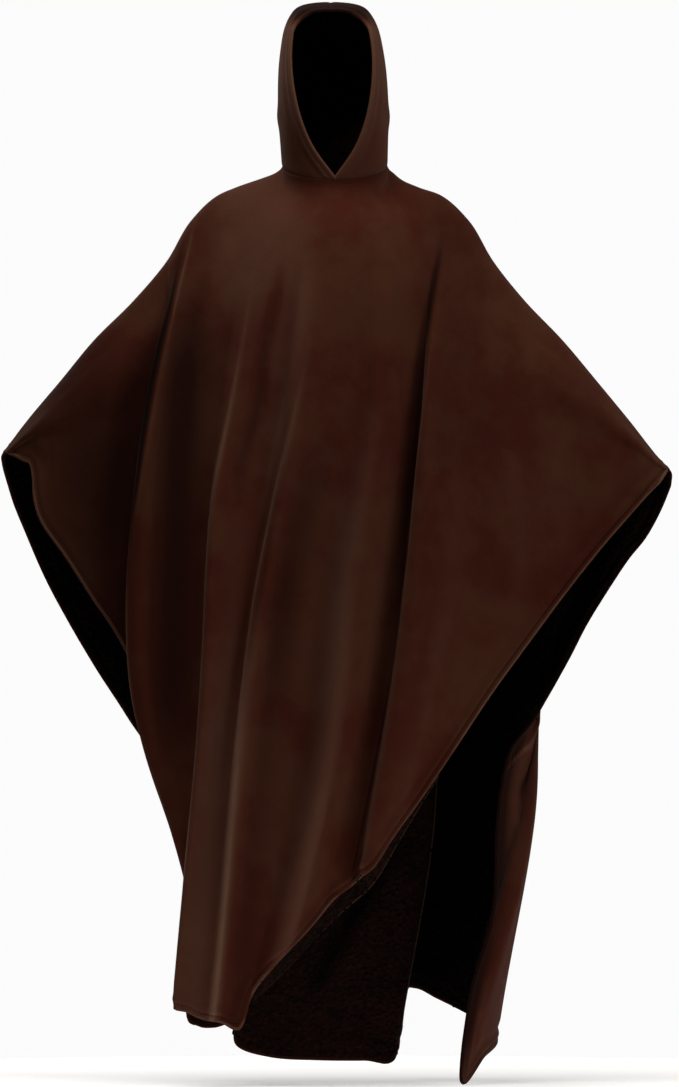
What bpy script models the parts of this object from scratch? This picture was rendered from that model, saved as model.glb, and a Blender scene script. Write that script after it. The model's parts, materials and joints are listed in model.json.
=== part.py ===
"""Hooded wearable blanket, hanging as it does on a wearer's shoulders, neck and arms, with nobody in it.

The garment is a front and a back panel of smooth fleece, each with a pile lining, and a two-piece lined hood.
Every panel is lofted through its fold lines: the lines that hang from the neck and shoulder seam to the hem.
Sizes are in millimetres here and become metres in the meshes. +X is the wearer's left, -Y the front, +Z up,
and the origin lies between the shoulders at the base of the neck.
"""

import math
from collections import namedtuple

import bpy
import numpy as np

MM = 0.001
GARMENT = "hooded_blanket"

# Cloth
SHELL_THICK = 2.0
LINING_THICK = 3.0
PLY_GAP = 0.3
SEAM_GAP = 0.3

# Neck seam: a flat ellipse that rises towards the nape. A quarter of it counts as NECK_QUARTER in the fold tables
NECK_HALF_WIDTH = 88.0
NECK_HALF_DEPTH = 83.0
NECK_SIDE_Z = 20.0
NECK_RISE = 24.0
NECK_QUARTER = 100.0

# Hood: it leans a little to the wearer's right as it rises
HOOD_LEAN = -0.025

# Hanging form: where each fold line bends off the shoulders, and how far it then stands from the seam
YOKE_SHARE = 0.12
YOKE_DEEPEST = 200.0
ARM_STAND = 48.0
CHEST_STAND = 77.0
CHEST_WIDTH = 150.0
STAND_SHARE = 0.75
COLLAR_START = 55.0
COLLAR_BLEND = 110.0

# Where the mesh is finer than this, neighbouring points share their normals
FINE_CELL = 8.0
NORMAL_PASSES = 4

# Places along a fold line, from the seam (0) to the hem (1), of the seam, yoke, upper, lower and hem stations
STATIONS = (0.0, 0.1, 0.36, 0.68, 1.0)
ROWS = (0.0, 0.02, 0.05, 0.1, 0.17, 0.25, 0.34, 0.43, 0.52, 0.61, 0.7, 0.79, 0.87, 0.94, 1.0)

# The shoulder and arm seam, outwards from the neck: distance from the middle, and height
SeamPoint = namedtuple("SeamPoint", "out z")
RIGHT_ARM_SEAM = [SeamPoint(*row) for row in (
    (88, 20), (91, 15), (97, 10), (125, -2), (167, -17), (197, -30), (243, -73), (284, -141),
    (341, -209), (409, -277), (465, -345), (522, -413), (561, -464),
)]
LEFT_ARM_SEAM = [SeamPoint(*row) for row in (
    (88, 20), (91, 14), (97, 9), (110, -2), (141, -17), (178, -30), (226, -73), (267, -141),
    (321, -209), (386, -277), (443, -345), (499, -413), (554, -481), (565, -492),
)]

# One row for each fold line. top is the distance along the neck and shoulder seam from the middle of the panel,
# upper and lower are at a third and two thirds of the drop, and steps is the number of columns to the next line
Fold = namedtuple("Fold", "name top upper_x upper_y lower_x lower_y hem_x hem_y hem_z steps")

FRONT_FOLDS = [Fold(*row) for row in (
    ("right cuff", -793, -553, -20, -541, -32, -530, -40, -480, 1),
    ("right cuff turn", -755, -528, -38, -513, -46, -518, -46, -487, 1),
    ("right cuff end", -725, -507, -51, -497, -56, -513, -52, -513, 1),
    ("right wing 1", -700, -493, -56, -486, -61, -511, -58, -544, 1),
    ("right wing 2", -675, -481, -58, -478, -62, -502, -60, -578, 1),
    ("right wing 3", -634, -462, -58, -460, -62, -457, -62, -644, 2),
    ("right wing 4", -560, -415, -60, -414, -62, -413, -62, -712, 2),
    ("right wing 5", -480, -362, -60, -368, -58, -371, -56, -774, 2),
    ("right wing 6", -410, -322, -54, -340, -50, -342, -44, -830, 2),
    ("side valley", -362, -300, -52, -330, -40, -316, -30, -890, 2),
    ("side ridge", -319, -329, -112, -344, -118, -224, -80, -1235, 2),
    ("side front", -288, -310, -134, -324, -142, -220, -104, -1300, 2),
    ("side hollow", -246, -268, -142, -286, -154, -226, -118, -1360, 2),
    ("first foot", -172, -214, -154, -238, -166, -258, -130, -1398, 1),
    ("first ridge", -152, -197, -170, -226, -186, -271, -152, -1408, 1),
    ("first hollow", -130, -174, -164, -206, -176, -250, -144, -1413, 1),
    ("right neck corner", -100, -136, -162, -193, -176, -238, -145, -1419, 1),
    ("second foot", -48, -98, -168, -176, -180, -226, -150, -1424, 1),
    ("second ridge", -26, -81, -182, -162, -197, -212, -165, -1427, 1),
    ("second hollow", -2, -58, -176, -140, -188, -194, -152, -1430, 2),
    ("hem corner", 26, -14, -166, -92, -178, -160, -140, -1441, 2),
    ("chest", 48, 22, -165, -44, -177, -141, -139, -1386, 2),
    ("soft ridge", 70, 63, -176, 5, -200, -107, -156, -1340, 2),
    ("slope", 100, 98, -157, 52, -168, -41, -132, -1270, 2),
    ("deep slope", 142, 122, -138, 80, -146, 0, -120, -1222, 2),
    ("deep valley", 184, 144, -124, 102, -128, 29, -110, -1200, 2),
    ("deep ridge", 208, 152, -158, 110, -172, 44, -140, -1185, 1),
    ("deep front", 234, 172, -160, 132, -174, 66, -142, -1168, 1),
    ("left wing 1", 264, 200, -144, 168, -158, 97, -134, -1120, 2),
    ("left wing 2", 308, 238, -118, 218, -134, 145, -124, -1054, 2),
    ("left wing 3", 360, 276, -98, 266, -112, 204, -112, -967, 2),
    ("left wing 4", 418, 318, -84, 316, -96, 264, -100, -877, 2),
    ("left wing 5", 486, 368, -74, 370, -84, 326, -88, -792, 2),
    ("left wing 6", 560, 420, -66, 424, -74, 393, -76, -702, 2),
    ("left wing 7", 640, 466, -58, 468, -66, 451, -66, -629, 2),
    ("left wing 8", 706, 505, -50, 506, -58, 498, -58, -575, 2),
    ("left cuff turn", 766, 536, -34, 532, -44, 532, -48, -537, 1),
    ("left cuff", 812, 563, -14, 558, -26, 552, -36, -517, 0),
)]

BACK_FOLDS = [Fold(*row) for row in (
    ("right cuff", -793, -566, 14, -565, 22, -563, 28, -496, 1),
    ("right wing 1", -765, -552, 34, -555, 40, -557, 40, -518, 1),
    ("right wing 2", -730, -534, 46, -541, 50, -547, 50, -553, 1),
    ("right wing 3", -690, -512, 54, -521, 58, -529, 58, -598, 1),
    ("right wing 4", -630, -474, 62, -485, 66, -495, 64, -677, 2),
    ("right wing 5", -560, -430, 68, -444, 70, -456, 68, -751, 2),
    ("right wing 6", -490, -380, 74, -395, 76, -406, 74, -836, 2),
    ("right wing 7", -425, -334, 82, -348, 86, -355, 82, -915, 2),
    ("right side", -365, -292, 96, -304, 104, -300, 98, -1010, 2),
    ("right hem ridge", -300, -248, 132, -268, 134, -234, 112, -1230, 2),
    ("right scallop", -228, -200, 158, -230, 150, -252, 104, -1420, 1),
    ("right hollow 1", -196, -172, 166, -208, 164, -234, 122, -1445, 2),
    ("right hollow 2", -162, -142, 172, -182, 168, -206, 128, -1448, 2),
    ("right step", -128, -108, 178, -152, 150, -172, 100, -1440, 1),
    ("inner pleat 1", -100, -82, 182, -132, 122, -166, 26, -1476, 2),
    ("inner pleat 2", -60, -46, 184, -78, 104, -110, 4, -1494, 2),
    ("inner pleat 3", -18, -4, 184, 0, 98, -30, 0, -1499, 2),
    ("inner pleat 4", 18, 34, 183, 86, 96, 50, 8, -1500, 2),
    ("inner pleat edge", 44, 66, 182, 168, 96, 100, 32, -1499, 2),
    ("pleat return", 72, 90, 181, 152, 186, 106, 154, -1390, 2),
    ("deep back 1", 100, 116, 179, 172, 204, 140, 222, -1384, 2),
    ("deep back 2", 130, 144, 172, 208, 208, 172, 230, -1400, 1),
    ("left side 1", 164, 172, 162, 244, 194, 205, 224, -1416, 1),
    ("left side 2", 200, 200, 151, 276, 170, 236, 204, -1432, 1),
    ("left side 3", 238, 228, 140, 302, 142, 260, 168, -1448, 1),
    ("left side 4", 280, 254, 130, 322, 108, 273, 118, -1464, 1),
    ("left side 5", 322, 280, 120, 336, 78, 273, 60, -1476, 2),
    ("left side 6", 362, 306, 114, 342, 38, 254, -8, -1492, 2),
    ("hem corner", 400, 330, 105, 336, -2, 214, -74, -1524, 2),
    ("left edge 1", 440, 353, 96, 333, 2, 232, -76, -1400, 1),
    ("left edge 2", 475, 376, 90, 345, 20, 272, -73, -1250, 1),
    ("left edge 3", 510, 397, 84, 366, 44, 278, -66, -1100, 1),
    ("left edge 4", 545, 418, 80, 402, 62, 296, -50, -990, 1),
    ("left edge 5", 578, 440, 76, 432, 60, 344, -16, -912, 1),
    ("left edge 6", 606, 458, 73, 444, 60, 374, 4, -860, 1),
    ("left edge 7", 636, 475, 70, 456, 60, 401, 22, -812, 1),
    ("left edge 8", 668, 492, 66, 471, 60, 428, 36, -760, 1),
    ("left edge 9", 704, 512, 62, 496, 58, 467, 46, -697, 1),
    ("left edge 10", 734, 528, 58, 516, 54, 499, 54, -649, 1),
    ("left edge 11", 760, 543, 49, 538, 50, 530, 51, -610, 1),
    ("left cuff turn", 786, 558, 36, 556, 42, 554, 46, -566, 1),
    ("left cuff", 812, 571, 13, 572, 21, 571, 30, -524, 0),
)]

# One row for each section of a hood half, from the neck seam to the brim: the point on the face opening,
# the point on the centre seam, and the half width between them
HoodSection = namedtuple("HoodSection", "name face_x face_y face_z seam_y seam_z half_width steps")

HOOD_SECTIONS = [HoodSection(*row) for row in (
    ("neck seam", 0, -83, -4, 83, 44, 88, 2),
    ("chin", 37, -97, 48, 102, 80, 90, 2),
    ("cheek", 57, -107, 97, 118, 118, 92, 2),
    ("eye", 68, -112, 150, 128, 162, 91, 2),
    ("brow", 71, -112, 201, 123, 214, 86, 1),
    ("temple", 67, -109, 243, 98, 258, 78, 1),
    ("crown side", 60, -106, 265, 48, 286, 68, 1),
    ("crown", 50, -102, 279, -25, 295, 56, 1),
    ("brim", 36, -99, 288, -97, 294, 36, 0),
)]
HOOD_COLUMNS = 11

FRONT, BACK = -1, 1
SHELL_COLOUR = (0.045, 0.0155, 0.0095, 1.0)
LINING_COLOUR = (0.012, 0.006, 0.0045, 1.0)


def spline(knots, values, places):
    """Points at the given places on a smooth curve that passes through the values at the knots."""
    knots = np.asarray(knots, float)
    values = np.asarray(values, float)
    places = np.asarray(places, float)
    step = np.diff(knots)[:, None]
    slope = np.diff(values, axis=0) / step
    inner = (slope[:-1] * step[1:] + slope[1:] * step[:-1]) / (step[:-1] + step[1:])
    tangent = np.vstack([slope[:1], inner, slope[-1:]])
    i = np.clip(np.searchsorted(knots, places, side="right") - 1, 0, len(knots) - 2)
    width = (knots[i + 1] - knots[i])[:, None]
    t = (places - knots[i])[:, None] / width
    start = (1 + 2 * t) * (1 - t) ** 2 * values[i] + t * (1 - t) ** 2 * width * tangent[i]
    end = t * t * (3 - 2 * t) * values[i + 1] + t * t * (t - 1) * width * tangent[i + 1]
    return start + end


def unit(vectors):
    return vectors / np.linalg.norm(vectors, axis=-1, keepdims=True)


def smooth_step(t):
    t = np.clip(t, 0, 1)
    return t * t * (3 - 2 * t)


def stepped(knots, steps):
    """The knots with each gap between them divided into its number of steps."""
    pieces = [np.linspace(a, b, n, endpoint=False) for a, b, n in zip(knots[:-1], knots[1:], steps)]
    return np.concatenate(pieces + [knots[-1:]])


def spacing(points):
    """Knots for a smooth curve through rows of points, spaced by the root of the distance between them."""
    gaps = np.sqrt(np.linalg.norm(np.diff(points, axis=0), axis=-1))
    if gaps.ndim > 1:
        gaps = gaps.mean(axis=1)
    return np.concatenate([[0.0], np.cumsum(gaps)])


def neck_plane_normal():
    """The upward normal of the plane that the neck seam lies in."""
    slope = NECK_RISE / NECK_HALF_DEPTH
    return unit(np.array([0.0, -slope, 1.0]))


def seam_line(top, side):
    """Points on the neck and shoulder seam at the distances in top from the middle of the panel."""
    angle = np.clip(top / NECK_QUARTER, -1, 1) * math.pi / 2
    x = NECK_HALF_WIDTH * np.sin(angle)
    y = side * NECK_HALF_DEPTH * np.cos(angle)
    points = np.stack([x, y, NECK_SIDE_Z + NECK_RISE * y / NECK_HALF_DEPTH], axis=1)
    for sign, seam in ((-1, RIGHT_ARM_SEAM), (1, LEFT_ARM_SEAM)):
        table = np.array(seam, float)
        along = np.concatenate([[0.0], np.cumsum(np.linalg.norm(np.diff(table, axis=0), axis=1))])
        out = sign * top > NECK_QUARTER
        arm = spline(along, table, np.minimum(sign * top[out] - NECK_QUARTER, along[-1]))
        points[out] = np.stack([sign * arm[:, 0], np.zeros(len(arm)), arm[:, 1]], axis=1)
    return points


def fold_stations(folds, side):
    """For each mesh column, its distance along the seam and its points at the five stations."""
    table = np.array([fold[2:9] for fold in folds], float)
    steps = [fold.steps for fold in folds[:-1]]
    tops = np.array([fold.top for fold in folds], float)
    knots = spacing(np.stack([table[:, 0:2], table[:, 2:4], table[:, 4:6]], axis=1))
    places = stepped(knots, steps)
    top = np.interp(places, knots, tops)
    upper_x, upper_y, lower_x, lower_y, hem_x, hem_y, hem_z = spline(knots, table, places).T
    seam = seam_line(top, side)
    drop = seam[:, 2] - hem_z
    yoke = YOKE_SHARE * drop / (1 + YOKE_SHARE * drop / YOKE_DEEPEST)
    stand = ARM_STAND + CHEST_STAND * np.exp(-((top / CHEST_WIDTH) ** 2))
    stand = np.minimum(stand, STAND_SHARE * np.abs(upper_y))
    yoke_x = seam[:, 0] + (upper_x - seam[:, 0]) * yoke / (drop / 3)
    points = np.stack([
        seam,
        np.stack([yoke_x, side * stand, seam[:, 2] - yoke], axis=1),
        np.stack([upper_x, upper_y, seam[:, 2] - drop / 3], axis=1),
        np.stack([lower_x, lower_y, seam[:, 2] - drop * 2 / 3], axis=1),
        np.stack([hem_x, hem_y, hem_z], axis=1),
    ])
    return top, points


def hang(top, points, side, rows):
    """The panel's middle surface: a grid of points, column by column, from the seam to the hem."""
    knots = np.array(STATIONS)
    reach = np.linalg.norm(points[1] - points[0], axis=1)[:, None] / (knots[1] - knots[0])
    on_arm = smooth_step((np.abs(top) - COLLAR_START) / COLLAR_BLEND)[:, None]
    start = unit(on_arm * np.array([0.0, side, 0.0]) - (1 - on_arm) * neck_plane_normal()) * reach
    slope = np.diff(points, axis=0) / np.diff(knots)[:, None, None]
    width = np.diff(knots)
    tangents = [start]
    for i in range(1, len(knots) - 1):
        tangents.append((slope[i - 1] * width[i] + slope[i] * width[i - 1]) / (width[i] + width[i - 1]))
    tangents.append(slope[-1])
    grid = []
    for row in rows:
        i = min(int(np.searchsorted(knots, row, side="right")) - 1, len(knots) - 2)
        t = (row - knots[i]) / width[i]
        grid.append(
            (1 + 2 * t) * (1 - t) ** 2 * points[i] + t * (1 - t) ** 2 * width[i] * tangents[i]
            + t * t * (3 - 2 * t) * points[i + 1] + t * t * (t - 1) * width[i] * tangents[i + 1]
        )
    return np.stack(grid, axis=1)


def grid_normals(grid, sign):
    """Outward normals at a grid's points, from the cells around them."""
    cells = unit(sign * np.cross(grid[1:, 1:] - grid[:-1, :-1], grid[:-1, 1:] - grid[1:, :-1]))
    normals = np.zeros_like(grid)
    for j in (slice(None, -1), slice(1, None)):
        for i in (slice(None, -1), slice(1, None)):
            normals[j, i] += cells
    normals = unit(normals)
    for axis in (0, 1) * NORMAL_PASSES:
        gaps = np.linalg.norm(np.diff(grid, axis=axis), axis=2, keepdims=True)
        share = np.swapaxes(np.exp(-((gaps / FINE_CELL) ** 2)), 0, axis)
        turned = np.swapaxes(normals, 0, axis)
        total = turned.copy()
        total[1:] += share * turned[:-1]
        total[:-1] += share * turned[1:]
        normals = np.swapaxes(unit(total), 0, axis)
    return normals


def without(vectors, direction):
    """Unit vectors with their part along the direction taken out, so that an edge stays in its seam's plane."""
    return unit(vectors - (vectors @ direction)[..., None] * direction)


def panel_surface(folds, side, rows):
    """The middle surface of a front or back panel, and its outward normals."""
    top, points = fold_stations(folds, side)
    grid = hang(top, points, side, rows)
    normals = grid_normals(grid, side)
    across = np.array([0.0, 1.0, 0.0])
    for column, place in enumerate(top):
        if abs(abs(place) - NECK_QUARTER) < 1e-6:
            normals[column, 0] = (math.copysign(1.0, place), 0.0, 0.0)
        elif abs(place) < NECK_QUARTER:
            normals[column, 0] = without(normals[column, 0], neck_plane_normal())
        else:
            normals[column, 0] = without(normals[column, 0], across)
    on_neck = np.abs(top) <= NECK_QUARTER + 1e-6
    on_arm = np.abs(top) >= NECK_QUARTER - 1e-6
    grid[on_neck, 0] -= neck_plane_normal() * SEAM_GAP / 2
    grid[on_arm, 0] += across * side * SEAM_GAP / 2
    return grid, normals


def hood_surface(sections, columns, sign):
    """The middle surface of one hood half (sign is its side) and its outward normals."""
    table = np.array([section[1:7] for section in sections], float)
    knots = spacing(np.stack([table[:, 0:3], np.insert(table[:, 3:5], 0, 0, axis=1)], axis=1))
    places = stepped(knots, [section.steps for section in sections[:-1]])
    face_x, face_y, face_z, seam_y, seam_z, half_width = spline(knots, table, places).T
    first = -np.arccos(np.clip(face_x / half_width, 0, 1))
    angle = first[:, None] + np.linspace(0, 1, columns + 1) * (math.pi / 2 - first)[:, None]
    share = (np.sin(angle) - np.sin(first)[:, None]) / (1 - np.sin(first))[:, None]
    x = half_width[:, None] * np.cos(angle)
    y = face_y[:, None] + (seam_y - face_y)[:, None] * share
    z = face_z[:, None] + (seam_z - face_z)[:, None] * share
    grid = np.stack([x, y, z], axis=2)
    normals = grid_normals(grid, -1)
    normals[0] = without(normals[0], neck_plane_normal())
    normals[:, -1] = without(normals[:, -1], np.array([1.0, 0.0, 0.0]))
    normals[0, -1] = without(normals[0, -1], neck_plane_normal())
    normals[0, 0] = without(np.array([0.0, -1.0, 0.0]), neck_plane_normal())
    grid[0] += neck_plane_normal() * SEAM_GAP / 2
    grid[..., 0] += SEAM_GAP / 2
    grid[..., 0] *= sign
    normals[..., 0] *= sign
    grid[..., 0] += HOOD_LEAN * grid[..., 2]
    return grid, normals


def material(name, colour, roughness):
    made = bpy.data.materials.new(name)
    made.use_nodes = True
    shader = made.node_tree.nodes["Principled BSDF"]
    shader.inputs["Base Color"].default_value = colour
    shader.inputs["Roughness"].default_value = roughness
    shader.inputs["Metallic"].default_value = 0.0
    return made


def wall(name, surface, low, high, finish, collection):
    """A closed cloth wall between two offsets of a surface, both measured outwards along its normals."""
    grid, normals = surface
    long, short = grid.shape[:2]
    inner = (grid + normals * low).reshape(-1, 3)
    outer = (grid + normals * high).reshape(-1, 3)
    index = np.arange(long * short).reshape(long, short)
    count = long * short
    faces = []
    for j in range(long - 1):
        for i in range(short - 1):
            a, b, c, d = index[j, i], index[j + 1, i], index[j + 1, i + 1], index[j, i + 1]
            across = np.linalg.norm(grid[j + 1, i + 1] - grid[j, i])
            if across < np.linalg.norm(grid[j + 1, i] - grid[j, i + 1]):
                halves = ((a, b, c), (a, c, d))
            else:
                halves = ((a, b, d), (b, c, d))
            for half in halves:
                faces.append(half)
                faces.append(tuple(v + count for v in reversed(half)))
    border = list(index[:-1, 0]) + list(index[-1, :-1]) + list(index[:0:-1, -1]) + list(index[0, :0:-1])
    for a, b in zip(border, border[1:] + border[:1]):
        faces.append((b, a, a + count, b + count))
    mesh = bpy.data.meshes.new(name)
    mesh.from_pydata((np.vstack([inner, outer]) * MM).tolist(), [], [[int(v) for v in f] for f in faces])
    if signed_volume(mesh) < 0:
        mesh.flip_normals()
    mesh.materials.append(finish)
    mesh.shade_smooth()
    made = bpy.data.objects.new(name, mesh)
    collection.objects.link(made)
    return made


def signed_volume(mesh):
    """Six times the volume inside a closed mesh, negative if its faces point inwards."""
    mesh.calc_loop_triangles()
    total = 0.0
    for triangle in mesh.loop_triangles:
        a, b, c = (mesh.vertices[v].co for v in triangle.vertices)
        total += a.dot(b.cross(c))
    return total


def lined_piece(name, surface, shell_finish, lining_finish, collection):
    """A piece of the garment in its two plies, the shell outside and the lining inside."""
    ply = PLY_GAP / 2
    wall(name + "_shell", surface, ply, ply + SHELL_THICK, shell_finish, collection)
    wall(name + "_lining", surface, -ply - LINING_THICK, -ply, lining_finish, collection)


def main():
    for old in list(bpy.data.objects):
        bpy.data.objects.remove(old)
    collection = bpy.data.collections.new(GARMENT)
    bpy.context.scene.collection.children.link(collection)
    shell = material("fleece_shell", SHELL_COLOUR, 0.9)
    lining = material("pile_lining", LINING_COLOUR, 0.95)
    lined_piece("front", panel_surface(FRONT_FOLDS, FRONT, ROWS), shell, lining, collection)
    lined_piece("back", panel_surface(BACK_FOLDS, BACK, ROWS), shell, lining, collection)
    for name, sign in (("hood_right", -1), ("hood_left", 1)):
        lined_piece(name, hood_surface(HOOD_SECTIONS, HOOD_COLUMNS, sign), shell, lining, collection)


if __name__ == "__main__":
    main()
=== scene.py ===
"""Hooded wearable blanket: smooth dark fleece outside and curly pile inside, hanging as when it is worn.

The file is laid out as an add-on and is run as a script. Each panel is lofted through its fold lines as in
the part's source, with finer columns and rows, and then gets its small creases, its turned edge and its
pile. The tables are in millimetres, the properties and meshes in metres. +X is the wearer's left, -Y the
front.
"""

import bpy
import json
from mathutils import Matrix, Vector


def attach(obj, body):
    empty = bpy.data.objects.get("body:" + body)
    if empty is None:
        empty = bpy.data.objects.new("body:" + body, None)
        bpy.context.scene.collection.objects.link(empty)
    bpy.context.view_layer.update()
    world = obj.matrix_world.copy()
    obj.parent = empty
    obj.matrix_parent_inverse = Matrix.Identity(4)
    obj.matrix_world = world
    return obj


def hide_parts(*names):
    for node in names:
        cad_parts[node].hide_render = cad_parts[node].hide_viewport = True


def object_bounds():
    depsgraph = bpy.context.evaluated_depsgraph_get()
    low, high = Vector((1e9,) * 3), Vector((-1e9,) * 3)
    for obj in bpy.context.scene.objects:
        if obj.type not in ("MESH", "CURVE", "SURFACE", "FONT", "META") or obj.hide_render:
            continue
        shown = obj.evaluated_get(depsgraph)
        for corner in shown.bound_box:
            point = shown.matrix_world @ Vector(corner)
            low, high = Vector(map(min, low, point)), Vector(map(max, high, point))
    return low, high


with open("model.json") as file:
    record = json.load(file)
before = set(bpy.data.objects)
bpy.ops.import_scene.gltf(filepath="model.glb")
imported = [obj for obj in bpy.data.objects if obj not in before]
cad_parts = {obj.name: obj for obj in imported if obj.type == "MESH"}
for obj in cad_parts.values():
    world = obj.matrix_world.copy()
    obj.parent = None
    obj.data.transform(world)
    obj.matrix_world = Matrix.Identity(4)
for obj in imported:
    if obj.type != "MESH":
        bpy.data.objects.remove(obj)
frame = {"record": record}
CAD_BOX = [list(corner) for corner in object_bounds()]

import json
import math
from collections import namedtuple

import bpy
import numpy as np
from mathutils import Vector
from mathutils.kdtree import KDTree

bl_info = {
    "name": "Hooded Wearable Blanket",
    "version": (1, 0, 0),
    "blender": (4, 5, 0),
    "location": "View3D > Sidebar > Blanket",
    "description": "Makes a lined, hooded fleece blanket that hangs as it is worn, and a plain stage for it",
    "category": "Add Mesh",
}

MM = 0.001
BODY = "root"

# Plies: the gap between shell and lining, and how far pieces sewn together reach into each other
PLY_GAP = 0.3
SEAM_LAP = 0.4

# Neck seam: a flat ellipse that rises towards the nape. In the fold tables a quarter of it counts as
# NECK_QUARTER, and a column nearer to its end than ON_SEAM lies at the shoulder
NECK_HALF_WIDTH = 88.0
NECK_HALF_DEPTH = 83.0
NECK_SIDE_Z = 20.0
NECK_RISE = 24.0
NECK_QUARTER = 100.0
ON_SEAM = 1e-6

# Hanging form: where each fold line bends off the shoulders, and how far it then stands from the seam
YOKE_SHARE = 0.12
YOKE_DEEPEST = 200.0
ARM_STAND = 48.0
CHEST_STAND = 77.0
CHEST_WIDTH = 150.0
STAND_SHARE = 0.75

# Beside the neck: where the cloth turns from leaving the neck seam to leaving the arm seam, and how the
# corner between them is smoothed, in how many passes, how far around, and down to where
COLLAR_START = 55.0
COLLAR_BLEND = 110.0
COLLAR_PASSES = 70
COLLAR_REACH = 60.0
COLLAR_END = 160.0
COLLAR_FADE = 240.0

# Places along a fold line, from the seam (0) to the hem (1)
STATIONS = (0.0, 0.1, 0.36, 0.68, 1.0)

# Strips beside the seam and the hem where the mesh has rows of its own, the widest share of a column they
# take, and the fewest rows they have. A row in the hem strip is half a cell high. Between the strips a row is
# MIDDLE_CELLS high, with MIDDLE_SPARE times the rows that this needs. ROUGH_ROWS measure the column first
SEAM_STRIP = 18.0
HEM_STRIP = 34.0
STRIP_SHARE = 0.3
SEAM_ROWS = 3
HEM_ROWS = 6
MIDDLE_CELLS = 3
MIDDLE_SPARE = 1.3
ROUGH_ROWS = 61

# Where the mesh is finer than this, neighbouring points share their normals
FINE_CELL = 8.0
NORMAL_PASSES = 8

# The turned edge: how high each band of it stands, where it lies, as a share of the stitch line's distance
# from the edge and a length beyond that, and how far it reaches
HemBand = namedtuple("HemBand", "height share beyond reach")
HEM_BANDS = [HemBand(*row) for row in (
    (1.0, 0.35, 0, 3.0), (1.2, 1, 6, 4.0), (-1.8, 1, 0, 2.2), (-2.2, 1, 18, 8.0),
)]

# The distance over which the creases fade at the edge and at the seam, the turned edge at the seam, and the
# lining's drop at both
EDGE_CALM = 20.0
SEAM_CALM = 30.0
HEM_CALM = 12.0
DROP_CALM = 12.0

# The trough along a seam, and the shade beside the neck seam
SEAM_TROUGH = 0.9
SEAM_TROUGH_REACH = 5.0
NECK_SHADE = 0.6
NECK_SHADE_REACH = 7.0

# The front's turned edge is pressed flat on the wearer's right: how much of it stays, and from where and over
# what distance along the seam it comes back
PRESSED_LEAST = 0.25
PRESSED_FROM = -200.0
PRESSED_REACH = 260.0

# The back panel's edge on the wearer's left rolls inwards: between these places, so deep and over this
# distance. Its turned edge is pressed flat there, and painted shade darkens it
ROLLED_FROM = 385.0
ROLLED_TO = 620.0
ROLLED_FADE = 40.0
ROLLED_DEPTH = 4.0
ROLLED_REACH = 25.0
ROLLED_PRESS = 0.9
ROLLED_SHADE = 1.6

# Crests painted pale, as wear and a painted highlight: from this form up a crease is round, the half width of
# a sharp crease's pale line, the share of its length over which a crease fades in and out, and the darkest
# painted shade and palest painted tone on the nap
ROUND_FORM = 1.8
CREST_WIDTH = 3.8
CREASE_FADE = 0.25
PAINTED_LIGHT_RANGE = (-2, 1)

# The roll along a panel's outer edge: how far inside it and how far off it. The roll is painted pale on the
# front (-1), as wear and a painted highlight, and dark on the back (1), as painted shade, and more so beyond
# a place on the wearer's left. The direction inwards is smoothed along the edge, and points nearer to each
# other than SAME_PLACE are left out
ROLL_INSET = 2.2
ROLL_LIFT = -0.5
ROLL_LEFT = 190.0
ROLL_LEFT_FADE = 20.0
RollWearAndLight = namedtuple("RollWearAndLight", "start more")
ROLL_WEAR_AND_LIGHT = {-1: RollWearAndLight(0.5, 0.5), 1: RollWearAndLight(-0.6, -0.9)}
ROLL_PASSES = 6
SAME_PLACE = 0.05

# How far the topstitching lies off the fleece
STITCH_LIFT = 0.15

# How thickly the curls of pile stand: inside, how much more beside the edge, how wide that strip is, and how
# it fades. They keep clear of the seam and the edge. On the back they stand thick from a little above the
# front's hem downwards
CurlCover = namedtuple("CurlCover", "inside more width fade")
PANEL_COVER = CurlCover(0.1, 0.75, 40, 120)
HOOD_COVER = CurlCover(0.12, 0.7, 10, 50)
CURL_SEAM_GAP = 4
CURL_SEAM_FADE = 8
CURL_EDGE_GAP = 3
CURL_EDGE_FADE = 4
HEM_COVER = 60
HEM_COVER_FADE = 40
CURL_SEEDS = {"front": 11, "back": 12, "hood_right": 19, "hood_left": 21, "strip": 14, "line": 31}

# A curl's size along its three axes, from and to, as shares of the curl size, how far it may tilt, in
# radians, and the most curls on a square metre
CURL_LEAST = (0.5, 0.45, 0.3)
CURL_MOST = (1.15, 0.9, 0.6)
CURL_TILT = 0.6
CURL_DENSITY = 30000.0

# The strip of lining that shows beyond the front panel's slanting edge: its width at places along the seam,
# how far it turns back, its thickness, how far it lies under the edge, the share of it that is tucked behind
# the fleece, its columns, how dark it lies, and the size and spacing of its curls as shares of the lining's
StripWidth = namedtuple("StripWidth", "top width")
TURNED_STRIP = [StripWidth(*row) for row in (
    (44, 4), (66, 26), (88, 40), (108, 38), (140, 30), (235, 22), (300, 14), (336, 4),
)]
TURNED_ANGLE = math.radians(32)
TURNED_THICK = 3.0
TURNED_SUNK = 4.0
TURNED_TUCK = 0.2
TURNED_COLUMNS = 9
TURNED_SHADE = 0.3
TURNED_CURL = 0.75
TURNED_SPACING = 0.55

# How often the strip's normals, edge, direction and outer line are smoothed, and a row well inside the panel
TURNED_UP_PASSES = 60
TURNED_EDGE_PASSES = 400
TURNED_OUT_PASSES = 200
TURNED_LINE_PASSES = 150
INNER_ROW = -40

# The fold line of the back panel's inner pleat: where it begins, how far the line of pile lies off it, how
# far the curls keep from it, and how soon the lining beside it lies in the dark
PLEAT_TOP = 47.0
PLEAT_START = 0.55
PLEAT_LIFT = 2.6
PLEAT_CLEAR = 14.0
PLEAT_FADE = 12.0
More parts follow.
